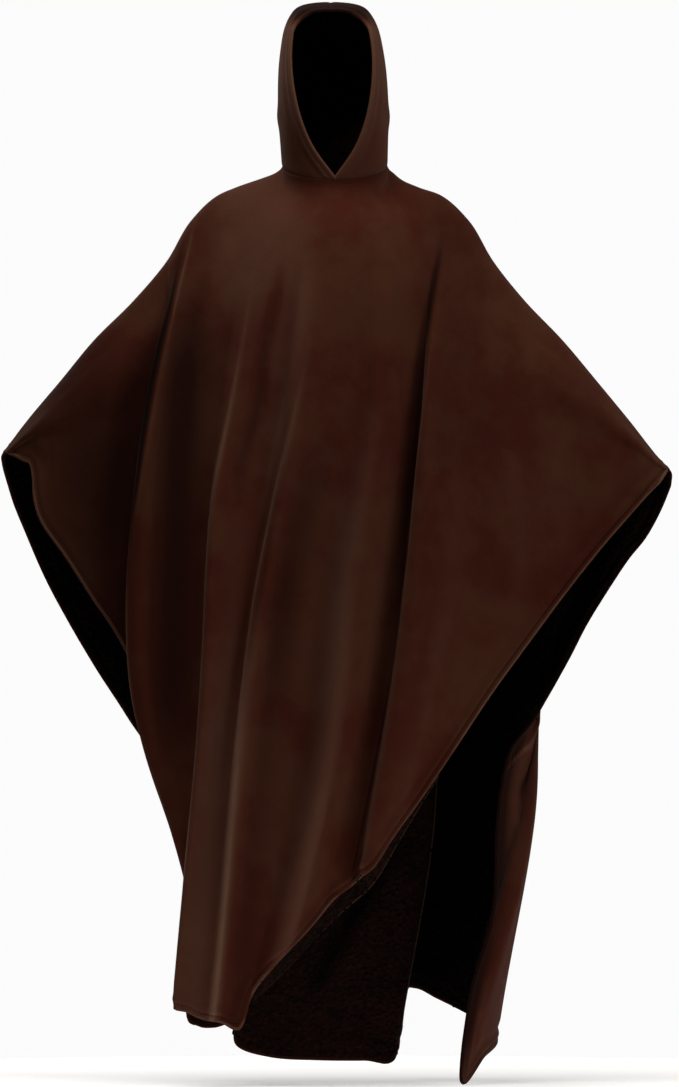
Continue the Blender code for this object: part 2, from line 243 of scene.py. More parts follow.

# Lines of pile: their radius on the strip and on the pleat, how pale the painted highlight on the strip's is
# and from where, and their curls' spacing as a share of the lining's, size as a share of the radius, and
# least size in metres
STRIP_LINE_RADIUS = 1.6
PLEAT_LINE_RADIUS = 2.0
STRIP_LINE_HIGHLIGHT = 0.6
STRIP_LINE_FROM = 90
STRIP_LINE_FADE = 60
LINE_SPACING = 0.7
LINE_CURL = 0.5
LINE_CURL_LEAST = 0.0018

# Shade on the lining: how dark the painted shade in the deep hollows is, where it begins on the wearer's
# right, and the painted shadow beside the strip, from one place (x, z) to another
DEEP_SHADE = 0.75
DEEP_RIGHT = -200
DEEP_RIGHT_FADE = 100
STRIP_SHADE = ((92, -1150), (-30, -1365))
STRIP_SHADE_DEPTH = 0.95
STRIP_SHADE_REACH = 17.0

# Hood: it leans a little to the wearer's right as it rises. Its mesh has HOOD_COLUMNS columns of cells of
# HOOD_CELL, in metres, and each cell is divided down to the cloth's mesh size
HOOD_LEAN = -0.025
HOOD_COLUMNS = 11
HOOD_CELL = 0.027

# Shade on the crown of the hood: above this height and in front of this place, how deep it is, and how it
# fades upwards and backwards
HOOD_SHADE = 250.0
HOOD_SHADE_BACK = 10.0
HOOD_SHADE_DEPTH = 1.8
HOOD_SHADE_RISE = 36
HOOD_SHADE_FADE = 70

# The brim droops over the face opening: how far, how near the edge, and from how far below the shade upwards
BRIM_DROOP = 12.0
BRIM_REACH = 20.0
DROOP_START = 10
DROOP_RISE = 45

# Relief of the hood: where its creases fade at the edge and centre and at the neck, and at their ends, how
# much of a panel's turned edge it has, how near and from how far above the neck, and its centre trough
HOOD_CALM = 14
HOOD_NECK_CALM = 12
HOOD_CREASE_FADE = 0.4
HOOD_HEM_SHARE = 0.5
HOOD_INSET_SHARE = 0.8
HOOD_HEM_CALM = 8
CENTRE_TROUGH = 1.1
CENTRE_TROUGH_REACH = 4.0

# The pale tone over the whole hood, the painted highlight beside its brim, the pale tone of its rolled edge,
# as wear and a painted highlight, and the painted shade on it at the top, and the size of that roll and of
# the hood's curls as shares of the panels'
HOOD_PALE_TONE = 0.2
BRIM_HIGHLIGHT = 0.2
BRIM_HIGHLIGHT_REACH = 16
BRIM_ROLL_WEAR_AND_LIGHT = 0.5
BRIM_ROLL_SHADE = 2.2
BRIM_ROLL_RISE = 28
HOOD_ROLL = 0.95
HOOD_CURL = 0.8

# The floor's distance below the garment, in metres, and its number of sides
FLOOR_GAP = 0.012
FLOOR_SIDES = 96

# Lights: their place, the stage setting that gives their strength and the share of it that they have, and for
# each kind what it is aimed at and its form
Light = namedtuple("Light", "name kind place setting share")
LIGHTS = [Light(*row) for row in (
    ("right_light", "SUN", (3.6, -1.7, 0.1), "right", 1.0),
    ("low_light", "SUN", (2.6, -2.4, -1.6), "low", 1.0),
    ("top_light", "SUN", (-0.5, -0.75, 3.4), "top", 1.0),
    ("rear_left_light", "SUN", (-2.2, 3.0, 1.3), "rear", 1.0),
    ("rear_right_light", "SUN", (2.8, 2.4, 0.7), "rear", 0.6),
    ("left_box", "AREA", (-0.3, -0.6, 0.95), "hood", 1.0),
    ("right_box", "AREA", (0.45, -0.5, 0.8), "hood", 0.3),
)]
LIGHT_AIMS = {"SUN": (0.0, 0.0, -0.6), "AREA": (0.0, -0.05, 0.1)}
LIGHT_FORMS = {"SUN": {"angle": math.radians(32)}, "AREA": {"shape": "DISK", "size": 0.5}}
LIGHT_COLOUR = (1.0, 0.97, 0.94)

# The photograph: its width and height in pixels, the pixel where the origin lies, and how many millimetres of
# the garment a pixel shows
PHOTO_SIZE = (679, 1087)
PHOTO_ORIGIN = (335, 178)
PHOTO_PIXEL = 1.7

# The shoulder and arm seam, outwards from the neck: distance from the middle, and height
SeamPoint = namedtuple("SeamPoint", "out z")
RIGHT_ARM_SEAM = [SeamPoint(*row) for row in (
    (88, 20), (91, 15), (97, 10), (125, -2), (167, -17), (197, -30), (243, -73), (284, -141),
    (341, -209), (409, -277), (465, -345), (522, -413), (561, -464),
)]
LEFT_ARM_SEAM = [SeamPoint(*row) for row in (
    (88, 20), (91, 14), (97, 9), (110, -2), (141, -17), (178, -30), (226, -73), (267, -141),
    (321, -209), (386, -277), (443, -345), (499, -413), (554, -481), (565, -492),
)]

# One row for each fold line. top is the distance along the neck and shoulder seam from the middle of the
# panel, and upper and lower are at a third and two thirds of the drop
Fold = namedtuple("Fold", "name top upper_x upper_y lower_x lower_y hem_x hem_y hem_z")

FRONT_FOLDS = [Fold(*row) for row in (
    ("right cuff", -793, -553, -20, -541, -32, -530, -40, -480),
    ("right cuff turn", -755, -528, -38, -513, -46, -518, -46, -487),
    ("right cuff end", -725, -507, -51, -497, -56, -513, -52, -513),
    ("right wing 1", -700, -493, -56, -486, -61, -511, -58, -544),
    ("right wing 2", -675, -481, -58, -478, -62, -502, -60, -578),
    ("right wing 3", -634, -462, -58, -460, -62, -457, -62, -644),
    ("right wing 4", -560, -415, -60, -414, -62, -413, -62, -712),
    ("right wing 5", -480, -362, -60, -368, -58, -371, -56, -774),
    ("right wing 6", -410, -322, -54, -340, -50, -342, -44, -830),
    ("side valley", -362, -300, -52, -330, -40, -316, -30, -890),
    ("side ridge", -319, -329, -112, -344, -118, -224, -80, -1235),
    ("side front", -288, -310, -134, -324, -142, -220, -104, -1300),
    ("side hollow", -246, -268, -142, -286, -154, -226, -118, -1360),
    ("first foot", -172, -214, -154, -238, -166, -258, -130, -1398),
    ("first ridge", -152, -197, -170, -226, -186, -271, -152, -1408),
    ("first hollow", -130, -174, -164, -206, -176, -250, -144, -1413),
    ("right neck corner", -100, -136, -162, -193, -176, -238, -145, -1419),
    ("second foot", -48, -98, -168, -176, -180, -226, -150, -1424),
    ("second ridge", -26, -81, -182, -162, -197, -212, -165, -1427),
    ("second hollow", -2, -58, -176, -140, -188, -194, -152, -1430),
    ("hem corner", 26, -14, -166, -92, -178, -160, -140, -1441),
    ("chest", 48, 22, -165, -44, -177, -141, -139, -1386),
    ("soft ridge", 70, 63, -176, 5, -200, -107, -156, -1340),
    ("slope", 100, 98, -157, 52, -168, -41, -132, -1270),
    ("deep slope", 142, 122, -138, 80, -146, 0, -120, -1222),
    ("deep valley", 184, 144, -124, 102, -128, 29, -110, -1200),
    ("deep ridge", 208, 152, -158, 110, -172, 44, -140, -1185),
    ("deep front", 234, 172, -160, 132, -174, 66, -142, -1168),
    ("left wing 1", 264, 200, -144, 168, -158, 97, -134, -1120),
    ("left wing 2", 308, 238, -118, 218, -134, 145, -124, -1054),
    ("left wing 3", 360, 276, -98, 266, -112, 204, -112, -967),
    ("left wing 4", 418, 318, -84, 316, -96, 264, -100, -877),
    ("left wing 5", 486, 368, -74, 370, -84, 326, -88, -792),
    ("left wing 6", 560, 420, -66, 424, -74, 393, -76, -702),
    ("left wing 7", 640, 466, -58, 468, -66, 451, -66, -629),
    ("left wing 8", 706, 505, -50, 506, -58, 498, -58, -575),
    ("left cuff turn", 766, 536, -34, 532, -44, 532, -48, -537),
    ("left cuff", 812, 563, -14, 558, -26, 552, -36, -517),
)]

BACK_FOLDS = [Fold(*row) for row in (
    ("right cuff", -793, -566, 14, -565, 22, -563, 28, -496),
    ("right wing 1", -765, -552, 34, -555, 40, -557, 40, -518),
    ("right wing 2", -730, -534, 46, -541, 50, -547, 50, -553),
    ("right wing 3", -690, -512, 54, -521, 58, -529, 58, -598),
    ("right wing 4", -630, -474, 62, -485, 66, -495, 64, -677),
    ("right wing 5", -560, -430, 68, -444, 70, -456, 68, -751),
    ("right wing 6", -490, -380, 74, -395, 76, -406, 74, -836),
    ("right wing 7", -425, -334, 82, -348, 86, -355, 82, -915),
    ("right side", -365, -292, 96, -304, 104, -300, 98, -1010),
    ("right hem ridge", -300, -248, 132, -268, 134, -234, 112, -1230),
    ("right scallop", -228, -200, 158, -230, 150, -252, 104, -1420),
    ("right hollow 1", -196, -172, 166, -208, 164, -234, 122, -1445),
    ("right hollow 2", -162, -142, 172, -182, 168, -206, 128, -1448),
    ("right step", -128, -108, 178, -152, 150, -172, 100, -1440),
    ("inner pleat 1", -100, -82, 182, -132, 122, -166, 26, -1476),
    ("inner pleat 2", -60, -46, 184, -78, 104, -110, 4, -1494),
    ("inner pleat 3", -18, -4, 184, 0, 98, -30, 0, -1499),
    ("inner pleat 4", 18, 34, 183, 86, 96, 50, 8, -1500),
    ("inner pleat edge", 44, 66, 182, 168, 96, 100, 32, -1499),
    ("pleat return", 72, 90, 181, 152, 186, 106, 154, -1390),
    ("deep back 1", 100, 116, 179, 172, 204, 140, 222, -1384),
    ("deep back 2", 130, 144, 172, 208, 208, 172, 230, -1400),
    ("left side 1", 164, 172, 162, 244, 194, 205, 224, -1416),
    ("left side 2", 200, 200, 151, 276, 170, 236, 204, -1432),
    ("left side 3", 238, 228, 140, 302, 142, 260, 168, -1448),
    ("left side 4", 280, 254, 130, 322, 108, 273, 118, -1464),
    ("left side 5", 322, 280, 120, 336, 78, 273, 60, -1476),
    ("left side 6", 362, 306, 114, 342, 38, 254, -8, -1492),
    ("hem corner", 400, 330, 105, 336, -2, 214, -74, -1524),
    ("left edge 1", 440, 353, 96, 333, 2, 232, -76, -1400),
    ("left edge 2", 475, 376, 90, 345, 20, 272, -73, -1250),
    ("left edge 3", 510, 397, 84, 366, 44, 278, -66, -1100),
    ("left edge 4", 545, 418, 80, 402, 62, 296, -50, -990),
    ("left edge 5", 578, 440, 76, 432, 60, 344, -16, -912),
    ("left edge 6", 606, 458, 73, 444, 60, 374, 4, -860),
    ("left edge 7", 636, 475, 70, 456, 60, 401, 22, -812),
    ("left edge 8", 668, 492, 66, 471, 60, 428, 36, -760),
    ("left edge 9", 704, 512, 62, 496, 58, 467, 46, -697),
    ("left edge 10", 734, 528, 58, 516, 54, 499, 54, -649),
    ("left edge 11", 760, 543, 49, 538, 50, 530, 51, -610),
    ("left cuff turn", 786, 558, 36, 556, 42, 554, 46, -566),
    ("left cuff", 812, 571, 13, 572, 21, 571, 30, -524),
)]

# One row for each section of a hood half, from the neck seam to the brim: the point on the face opening,
# the point on the centre seam, and the half width between them
HoodSection = namedtuple("HoodSection", "name face_x face_y face_z seam_y seam_z half_width steps")

HOOD_SECTIONS = [HoodSection(*row) for row in (
    ("neck seam", 0, -83, -4, 83, 44, 88, 2),
    ("chin", 37, -97, 48, 102, 80, 90, 2),
    ("cheek", 57, -107, 97, 118, 118, 92, 2),
    ("eye", 68, -112, 150, 128, 162, 91, 2),
    ("brow", 71, -112, 201, 123, 214, 86, 1),
    ("temple", 67, -109, 243, 98, 258, 78, 1),
    ("crown side", 60, -106, 265, 48, 286, 68, 1),
    ("crown", 50, -102, 279, -25, 295, 56, 1),
    ("brim", 36, -99, 288, -97, 294, 36, 0),
)]

# Small creases. The path gives places on the panel as (row, top), row 0 being the seam and 1 the hem. height
# is how far the crease stands out, left and right how far it reaches to each side, sharp its form (2 is
# round, 1 a point), and the last column how pale the nap is painted, as wear and a painted highlight, or
# below 0 how dark painted shade makes it, to black at -2. A round crease is pale or dark over its whole
# width, a sharp one along its line
Crease = namedtuple("Crease", "name path height left right sharp worn")

# In the front's creases a tone above 0 paints wear and a painted highlight, and on the glows a painted
# highlight alone. A tone below 0 is painted shade: the shades, the shadows, the lines and the dark hollows
FRONT_CREASES = [Crease(*row) for row in (
    ("first crest",
     ((0.12, -131), (0.22, -134), (0.3, -140), (0.4, -155), (0.6, -160), (0.78, -162), (1.3, -155)),
     4.2, 4, 24, 1.2, 1.0),
    ("first undercut", ((0.16, -142), (0.3, -150), (0.4, -165), (0.6, -170), (0.78, -172), (1.3, -166)),
     -5.0, 22, 6, 1.6, 0.0),
    ("second crest", ((0.2, -4), (0.3, -20), (0.4, -38), (0.5, -46), (0.62, -34), (0.72, -26), (1.3, -28)),
     6.0, 4, 22, 1.2, 1.0),
    ("second undercut",
     ((0.2, -14), (0.3, -30), (0.4, -48), (0.5, -56), (0.62, -44), (0.72, -36), (1.3, -38)),
     -4.2, 15, 6, 1.7, 0.0),
    ("breast swell", ((0.12, -24), (0.24, -32), (0.36, -52), (0.46, -62)), 5.0, 12, 18, 2.0, 0.2),
    ("breast hollow", ((0.13, -78), (0.2, -86), (0.26, -101), (0.3, -101), (0.36, -113), (0.44, -120)),
     -3.5, 14, 14, 2.0, -0.5),
    ("deep line", ((0.1, 206), (0.2, 190), (0.3, 182), (0.42, 176), (0.6, 178), (0.72, 180)),
     -4.0, 12, 5, 1.4, 0.0),
    ("deep fill", ((0.48, 172), (0.6, 176), (0.8, 180), (1.3, 182)), 11.0, 16, 12, 2.0, 0.0),
    ("deep crest", ((0.1, 224), (0.2, 214), (0.3, 208), (0.42, 204), (0.6, 206), (0.8, 208), (1.3, 206)),
     5.0, 6, 34, 1.3, 0.5),
    ("soft crown", ((0.3, 84), (0.4, 66), (0.5, 60), (0.6, 62), (0.7, 68), (0.85, 76), (1.3, 74)),
     10.0, 32, 24, 2.0, 0.34),
    ("soft slope", ((0.36, 120), (0.5, 118), (0.7, 124), (1.3, 128)), -5.5, 26, 24, 2.0, 0.0),
    ("inner valley", ((0.26, 18), (0.45, 0), (0.65, 8), (1.3, 16)), -7.0, 16, 34, 1.8, -0.35),
    ("side crest", ((0.05, -312), (0.14, -318), (0.3, -318), (0.6, -312), (0.9, -306)), 4.0, 6, 12, 1.4, 0.0),
    ("side glow", ((0.48, -314), (0.6, -312), (0.95, -306)), 0.0, 6, 12, 1.4, 0.8),
    ("side line", ((0.04, -330), (0.14, -338), (0.3, -344), (0.6, -346)), -8.0, 15, 7, 1.6, -0.5),
    ("side shadow",
     ((0.0, -296), (0.09, -302), (0.16, -310), (0.25, -316), (0.36, -314), (0.5, -320), (0.7, -322)),
     0.0, 20, 8, 1.8, -1.5),
    ("side pale line",
     ((0.0, -268), (0.06, -277), (0.13, -288), (0.21, -297), (0.31, -300), (0.41, -305), (0.52, -314)),
     1.0, 6, 8, 1.4, 0.7),
    ("deep shadow", ((0.07, 217), (0.12, 211), (0.22, 196), (0.3, 185), (0.4, 180), (0.52, 183)),
     0.0, 6, 6, 1.8, -1.4),
    ("side face", ((0.1, -292), (0.28, -286), (0.5, -278), (0.86, -270)), -13.0, 12, 74, 1.4, 0.0),
    ("side shade", ((0.1, -262), (0.3, -246), (0.5, -234), (0.8, -238)), -2.0, 42, 46, 2.0, -1.0),
    ("chest glow", ((0.03, -84), (0.14, -88), (0.34, -92)), 0.5, 54, 56, 2.0, 0.14),
    ("yoke glow", ((-0.06, -150), (0.06, -156), (0.24, -150)), 0.0, 90, 90, 2.0, 0.26),
    ("second glow", ((0.45, -38), (0.8, -22), (1.3, -24)), 0.0, 8, 14, 2.0, 0.3),
    ("left shoulder shade", ((-0.1, 200), (0.16, 240), (0.5, 300)), 0.0, 60, 110, 2.0, -0.3),
    ("hem glow", ((0.5, -124), (0.75, -122), (1.3, -126)), 0.5, 44, 46, 2.0, 0.24),
    ("between second and soft", ((0.3, 22), (0.5, 10), (0.66, 14)), 0.0, 26, 30, 2.0, -0.35),
    ("right wing shade", ((0.06, -420), (0.5, -440), (1.3, -470)), 0.0, 90, 150, 2.0, -0.75),
    ("right wrist shade", ((-0.4, -640), (1.4, -640)), 0.0, 90, 110, 2.0, -0.6),
    ("between first and second", ((0.28, -112), (0.5, -108), (0.75, -100), (1.3, -96)),
     3.0, 22, 26, 2.0, 0.1),
    ("left wing rise", ((0.08, 300), (0.3, 292), (0.6, 276), (1.3, 262)), 3.0, 26, 34, 2.0, 0.1),
    ("left wing fall", ((0.3, 250), (0.5, 246), (0.8, 242)), -3.5, 16, 20, 2.0, 0.0),
    ("left wing drag 1", ((0.05, 340), (0.4, 380), (0.9, 440)), 3.0, 26, 34, 2.0, 0.1),
    ("left wing drag 2", ((0.05, 430), (0.4, 470), (0.9, 540)), 2.4, 24, 30, 2.0, 0.1),
    ("left wing drag 3", ((0.06, 540), (0.4, 580), (0.85, 640)), 2.0, 20, 26, 2.0, 0.0),
    ("right wing drag 1", ((0.05, -410), (0.5, -430), (0.95, -470)), 3.0, 22, 28, 2.0, 0.1),
    ("right wing drag 2", ((0.04, -490), (0.5, -540), (0.9, -600)), 2.6, 20, 26, 2.0, 0.1),
    ("right wrist drag", ((0.1, -640), (0.95, -690)), 1.8, 12, 16, 2.0, 0.0),
    ("left wrist drag", ((0.1, 700), (0.95, 742)), 1.8, 12, 16, 2.0, 0.0),
    ("shoulder drag right", ((0.02, -170), (0.1, -196), (0.24, -232)), 2.6, 20, 24, 2.0, 0.0),
    ("shoulder drag left", ((0.02, 140), (0.1, 150), (0.22, 176)), 2.4, 20, 24, 2.0, 0.0),
)]

# On the back the pale crests are wear and a painted highlight, the pinch's pale line a painted highlight, and
# the pinch hollow and the corner shade are painted shade
BACK_CREASES = [Crease(*row) for row in (
    ("nape fall 1", ((0.04, -18), (0.3, -14), (0.62, -30)), 4.0, 20, 28, 1.8, 0.1),
    ("nape fall 2", ((0.05, 46), (0.28, 60), (0.5, 60)), 3.6, 18, 26, 1.8, 0.1),
    ("right blade fall", ((0.06, -112), (0.3, -126), (0.6, -132), (0.95, -128)), 5.0, 12, 28, 1.5, 0.4),
    ("left blade fall", ((0.06, 112), (0.3, 132), (0.6, 136), (0.95, 128)), 5.0, 28, 12, 1.5, 0.4),
    ("right flank fold", ((0.1, -228), (0.5, -236), (1.3, -232)), 5.0, 24, 10, 1.5, 0.4),
    ("left flank fold", ((0.1, 236), (0.45, 256), (0.85, 262)), 5.0, 10, 26, 1.5, 0.4),
    ("pleat crest", ((0.5, 46), (1.3, 44)), 3.6, 18, 7, 1.4, 0.8),
    ("right wing drag 1", ((0.05, -330), (0.5, -352), (0.95, -400)), 3.4, 26, 20, 2.0, 0.1),
    ("right wing drag 2", ((0.05, -430), (0.5, -482), (0.95, -560)), 2.8, 22, 20, 2.0, 0.1),
    ("right wing drag 3", ((0.05, -560), (0.5, -610), (0.9, -660)), 2.2, 18, 18, 2.0, 0.0),
    ("left wing drag 1", ((0.05, 330), (0.3, 352), (0.6, 400)), 3.4, 20, 26, 2.0, 0.1),
    ("left wing drag 2", ((0.05, 430), (0.4, 466), (0.8, 500)), 2.8, 20, 22, 2.0, 0.1),
    ("left wing drag 3", ((0.05, 560), (0.5, 600), (0.9, 640)), 2.2, 18, 20, 2.0, 0.0),
    ("pinch hollow", ((0.62, 440), (0.74, 466), (0.82, 484), (0.9, 502)), -3.0, 18, 16, 2.0, -0.8),
    ("pinch crest", ((0.56, 452), (0.71, 482), (0.8, 499), (0.9, 522), (1.1, 552)), 4.5, 13, 12, 1.6, 1.7),
    ("pinch turn", ((0.76, 440), (0.88, 486), (0.95, 512), (1.1, 540)), 3.0, 14, 14, 2.0, 0.3),
    ("left corner shade", ((0.4, 450), (0.8, 466), (1.3, 470)), 0.0, 85, 60, 2.0, -1.1),
)]

# Creases of one hood half: place is along the sections (0 at the neck seam, 1 at the brim), and across from
# the face opening (0) to the centre seam (1)
HoodCrease = namedtuple("HoodCrease", "name across place end_across end_place height reach")
HOOD_CREASES = [HoodCrease(*row) for row in (
    ("cheek fold", 0.16, 0.34, 0.7, 0.12, 2.0, 15),
    ("nape fold", 0.74, 0.24, 1.0, 0.17, 2.4, 13),
    ("temple fall", 0.3, 0.82, 0.4, 0.3, 2.0, 16),
)]

# Flat cut of what shows, in metres: across, down, and the area inside the cut
Cut = namedtuple("Cut", "width length area")


def slot_colour(name):
    """The base colour that the packed record gives a material slot, with alpha."""
    for entry in frame["record"]["materials"]:
        if entry["slot"] == name:
            return tuple(entry["base_color"]) + (1.0,)
    raise RuntimeError("the record has no slot " + name)


class BlanketCloth(bpy.types.PropertyGroup):
    """Sizes of the cloth and its mesh."""

    shell_thick: bpy.props.FloatProperty(
        name="Fleece Thickness", description="Thickness of the fleece shell", default=0.002, unit="LENGTH")
    lining_thick: bpy.props.FloatProperty(
        name="Lining Thickness", description="Thickness of the lining under its pile", default=0.003,
        unit="LENGTH")
    shell_cell: bpy.props.FloatProperty(
        name="Fleece Mesh Size", description="Widest gap between the shell's columns", default=0.0049,
        unit="LENGTH")
    lining_cell: bpy.props.FloatProperty(
        name="Lining Mesh Size", description="Widest gap between the lining's columns", default=0.009,
        unit="LENGTH")
    lining_drop: bpy.props.FloatProperty(
        name="Lining Drop", description="How far the lining hangs off the fleece", default=0.001,
        unit="LENGTH")
    crease_depth: bpy.props.FloatProperty(
        name="Crease Depth", description="Share of the small creases' depth", default=1.0, min=0.0, max=1.5)
    edge_roll: bpy.props.FloatProperty(
        name="Edge Roll", description="Radius of the rolled outer edge", default=0.0033, unit="LENGTH")


class BlanketFleece(bpy.types.PropertyGroup):
    """Looks of the smooth fleece."""

    colour: bpy.props.FloatVectorProperty(
        name="Colour", description="Base colour of the fleece", subtype="COLOR", size=4,
        default=(0.052, 0.0168, 0.0080, 1.0))
    warm: bpy.props.FloatVectorProperty(
        name="Warm Patches", description="Redder tone where the nap lies flat", subtype="COLOR", size=4,
        default=(0.043, 0.0085, 0.0040, 1.0))
    # Pale tone on the crests: wear on the nap and a painted highlight
    crest: bpy.props.FloatVectorProperty(
        name="Worn Crests", description="Paler tone along the crests of the folds", subtype="COLOR", size=4,
        default=(0.122, 0.063, 0.040, 1.0))
    # Painted shade in the hollows, down to a tenth of this colour where it is deepest
    hollow: bpy.props.FloatVectorProperty(
        name="Hollows", description="Darker tone where the nap lies in a hollow", subtype="COLOR", size=4,
        default=(0.016, 0.0034, 0.0015, 1.0))
    nap: bpy.props.FloatProperty(
        name="Nap Size", description="Size of the brushed nap", default=0.0016, unit="LENGTH")


class BlanketPile(bpy.types.PropertyGroup):
    """Looks of the curly pile lining."""

    colour: bpy.props.FloatVectorProperty(
        name="Colour", description="Base colour of the pile", subtype="COLOR", size=4,
        default=slot_colour("pile_lining"))
    tips: bpy.props.FloatVectorProperty(
        name="Curl Tips", description="Paler tone on the curls", subtype="COLOR", size=4,
        default=(0.018, 0.0062, 0.0036, 1.0))
    # The fold line's pale tone is a painted highlight
    fold: bpy.props.FloatVectorProperty(
        name="Fold Line", description="Pale tone of the pile where it is turned over a fold",
        subtype="COLOR", size=4, default=(0.085, 0.045, 0.034, 1.0))
    curl: bpy.props.FloatProperty(
        name="Curl Size", description="Radius of one curl of the pile", default=0.0052, unit="LENGTH")
    spacing: bpy.props.FloatProperty(
        name="Curl Spacing", description="Least distance between two curls", default=0.0076, unit="LENGTH")


class BlanketStitch(bpy.types.PropertyGroup):
    """Topstitching along the turned edges."""

    inset: bpy.props.FloatProperty(
        name="Distance From Edge", description="Distance of the stitch line from the edge", default=0.009,
        unit="LENGTH")
    length: bpy.props.FloatProperty(
        name="Stitch Length", description="Length of one stitch", default=0.0052, unit="LENGTH")
    gap: bpy.props.FloatProperty(
        name="Stitch Gap", description="Gap between two stitches", default=0.0026, unit="LENGTH")
    thread: bpy.props.FloatProperty(
        name="Thread", description="Thickness of the thread", default=0.0015, unit="LENGTH")
    colour: bpy.props.FloatVectorProperty(
        name="Colour", description="Colour of the thread", subtype="COLOR", size=4,
        default=(0.009, 0.004, 0.003, 1.0))


class BlanketStage(bpy.types.PropertyGroup):
    """Floor, lights and camera."""

    pale: bpy.props.FloatVectorProperty(
        name="Floor", description="Colour of the floor", subtype="COLOR", size=4,
        default=(0.93, 0.93, 0.93, 1.0))
    floor_glow: bpy.props.FloatProperty(
        name="Floor Glow", description="Brightness that the floor has of its own", default=0.35)
    surround: bpy.props.FloatProperty(
        name="Surround", description="Brightness of the surround that the camera sees", default=0.97)
    ambient: bpy.props.FloatProperty(
        name="Ambient", description="Brightness of the light from all around", default=0.05)
    reach: bpy.props.FloatProperty(
        name="Floor Radius", description="Radius of the round floor", default=1.3, unit="LENGTH")
    distance: bpy.props.FloatProperty(
        name="Camera Distance", description="From the garment to the camera", default=24.0, unit="LENGTH")
    right: bpy.props.FloatProperty(
        name="Right Light", description="Strength of the light from the picture's right", default=0.6)
    low: bpy.props.FloatProperty(
        name="Low Light", description="Strength of the light from below on the right", default=0.65)
    top: bpy.props.FloatProperty(
        name="Top Light", description="Strength of the light from above", default=1.45)
    rear: bpy.props.FloatProperty(
        name="Rear Light", description="Strength of the light from behind", default=1.1)
    hood: bpy.props.FloatProperty(
        name="Hood Lights", description="Power of the soft boxes above the hood", default=7.5, unit="POWER")


# Shape

def spline(knots, values, places):
    """Points at the given places on a smooth curve that passes through the values at the knots."""
    knots = np.asarray(knots, float)
    values = np.asarray(values, float)
    places = np.asarray(places, float)
    step = np.diff(knots)[:, None]
    slope = np.diff(values, axis=0) / step
    inner = (slope[:-1] * step[1:] + slope[1:] * step[:-1]) / (step[:-1] + step[1:])
    tangent = np.vstack([slope[:1], inner, slope[-1:]])
    i = np.clip(np.searchsorted(knots, places, side="right") - 1, 0, len(knots) - 2)
    width = (knots[i + 1] - knots[i])[:, None]
    t = (places - knots[i])[:, None] / width
    start = (1 + 2 * t) * (1 - t) ** 2 * values[i] + t * (1 - t) ** 2 * width * tangent[i]
    end = t * t * (3 - 2 * t) * values[i + 1] + t * t * (t - 1) * width * tangent[i + 1]
    return start + end


def unit(vectors):
    """The vectors at a length of 1."""
    length = np.linalg.norm(vectors, axis=-1, keepdims=True)
    return vectors / np.maximum(length, 1e-12)


def smooth_step(t):
    """0 below 0, 1 above 1, and a smooth rise between them."""
    t = np.clip(t, 0, 1)
    return t * t * (3 - 2 * t)


def bell(distance, reach):
    """1 at no distance, falling off smoothly over the reach."""
    return np.exp(-((distance / reach) ** 2))


def smoothed(points, passes):
    """The rows of points with each moved towards the middle of its neighbours, but for the ends."""
    points = points.copy()
    for _ in range(passes):
        points[1:-1] = (points[:-2] + 2 * points[1:-1] + points[2:]) / 4
    return points


def stepped(knots, steps):
    """The knots with each gap between them divided into its number of steps."""
    pieces = [np.linspace(a, b, n, endpoint=False) for a, b, n in zip(knots[:-1], knots[1:], steps)]
    return np.concatenate(pieces + [knots[-1:]])


def spacing(points):
    """Knots for a smooth curve through rows of points, spaced by the root of the distance between them."""
    gaps = np.sqrt(np.linalg.norm(np.diff(points, axis=0), axis=-1))
    if gaps.ndim > 1:
        gaps = gaps.mean(axis=1)
    return np.concatenate([[0.0], np.cumsum(gaps)])


def neck_plane_normal():
    """The upward normal of the plane that the neck seam lies in."""
    return unit(np.array([0.0, -NECK_RISE / NECK_HALF_DEPTH, 1.0]))


def seam_line(top, side):
    """Points on the neck and shoulder seam at the distances in top from the middle of the panel."""
    angle = np.clip(top / NECK_QUARTER, -1, 1) * math.pi / 2
    x = NECK_HALF_WIDTH * np.sin(angle)
    y = side * NECK_HALF_DEPTH * np.cos(angle)
    points = np.stack([x, y, NECK_SIDE_Z + NECK_RISE * y / NECK_HALF_DEPTH], axis=1)
    for sign, seam in ((-1, RIGHT_ARM_SEAM), (1, LEFT_ARM_SEAM)):
        table = np.array(seam, float)
        along = np.concatenate([[0.0], np.cumsum(np.linalg.norm(np.diff(table, axis=0), axis=1))])
        out = sign * top > NECK_QUARTER
        arm = spline(along, table, np.minimum(sign * top[out] - NECK_QUARTER, along[-1]))
        points[out] = np.stack([sign * arm[:, 0], np.zeros(len(arm)), arm[:, 1]], axis=1)
    return points


def fold_stations(folds, side, cell):
    """For each mesh column, its distance along the seam and its points at the five stations."""
    table = np.array([fold[2:9] for fold in folds], float)
    tops = np.array([fold.top for fold in folds], float)
    knots = spacing(np.stack([table[:, 0:2], table[:, 2:4], table[:, 4:6]], axis=1))
    widest = np.max([np.hypot(*np.diff(table[:, k:k + 2], axis=0).T) for k in (0, 2, 4)], axis=0)
    steps = 2 * np.maximum(1, np.ceil(widest / cell / 2)).astype(int)
    places = stepped(knots, steps)
    top = np.interp(places, knots, tops)
    upper_x, upper_y, lower_x, lower_y, hem_x, hem_y, hem_z = spline(knots, table, places).T
    seam = seam_line(top, side)
    drop = seam[:, 2] - hem_z
    yoke = YOKE_SHARE * drop / (1 + YOKE_SHARE * drop / YOKE_DEEPEST)
    stand = ARM_STAND + CHEST_STAND * bell(top, CHEST_WIDTH)
    stand = np.minimum(stand, STAND_SHARE * np.abs(upper_y))
    yoke_x = seam[:, 0] + (upper_x - seam[:, 0]) * yoke / (drop / 3)
    points = np.stack([
        seam,
        np.stack([yoke_x, side * stand, seam[:, 2] - yoke], axis=1),
        np.stack([upper_x, upper_y, seam[:, 2] - drop / 3], axis=1),
        np.stack([lower_x, lower_y, seam[:, 2] - drop * 2 / 3], axis=1),
        np.stack([hem_x, hem_y, hem_z], axis=1),
    ])
    return top, points


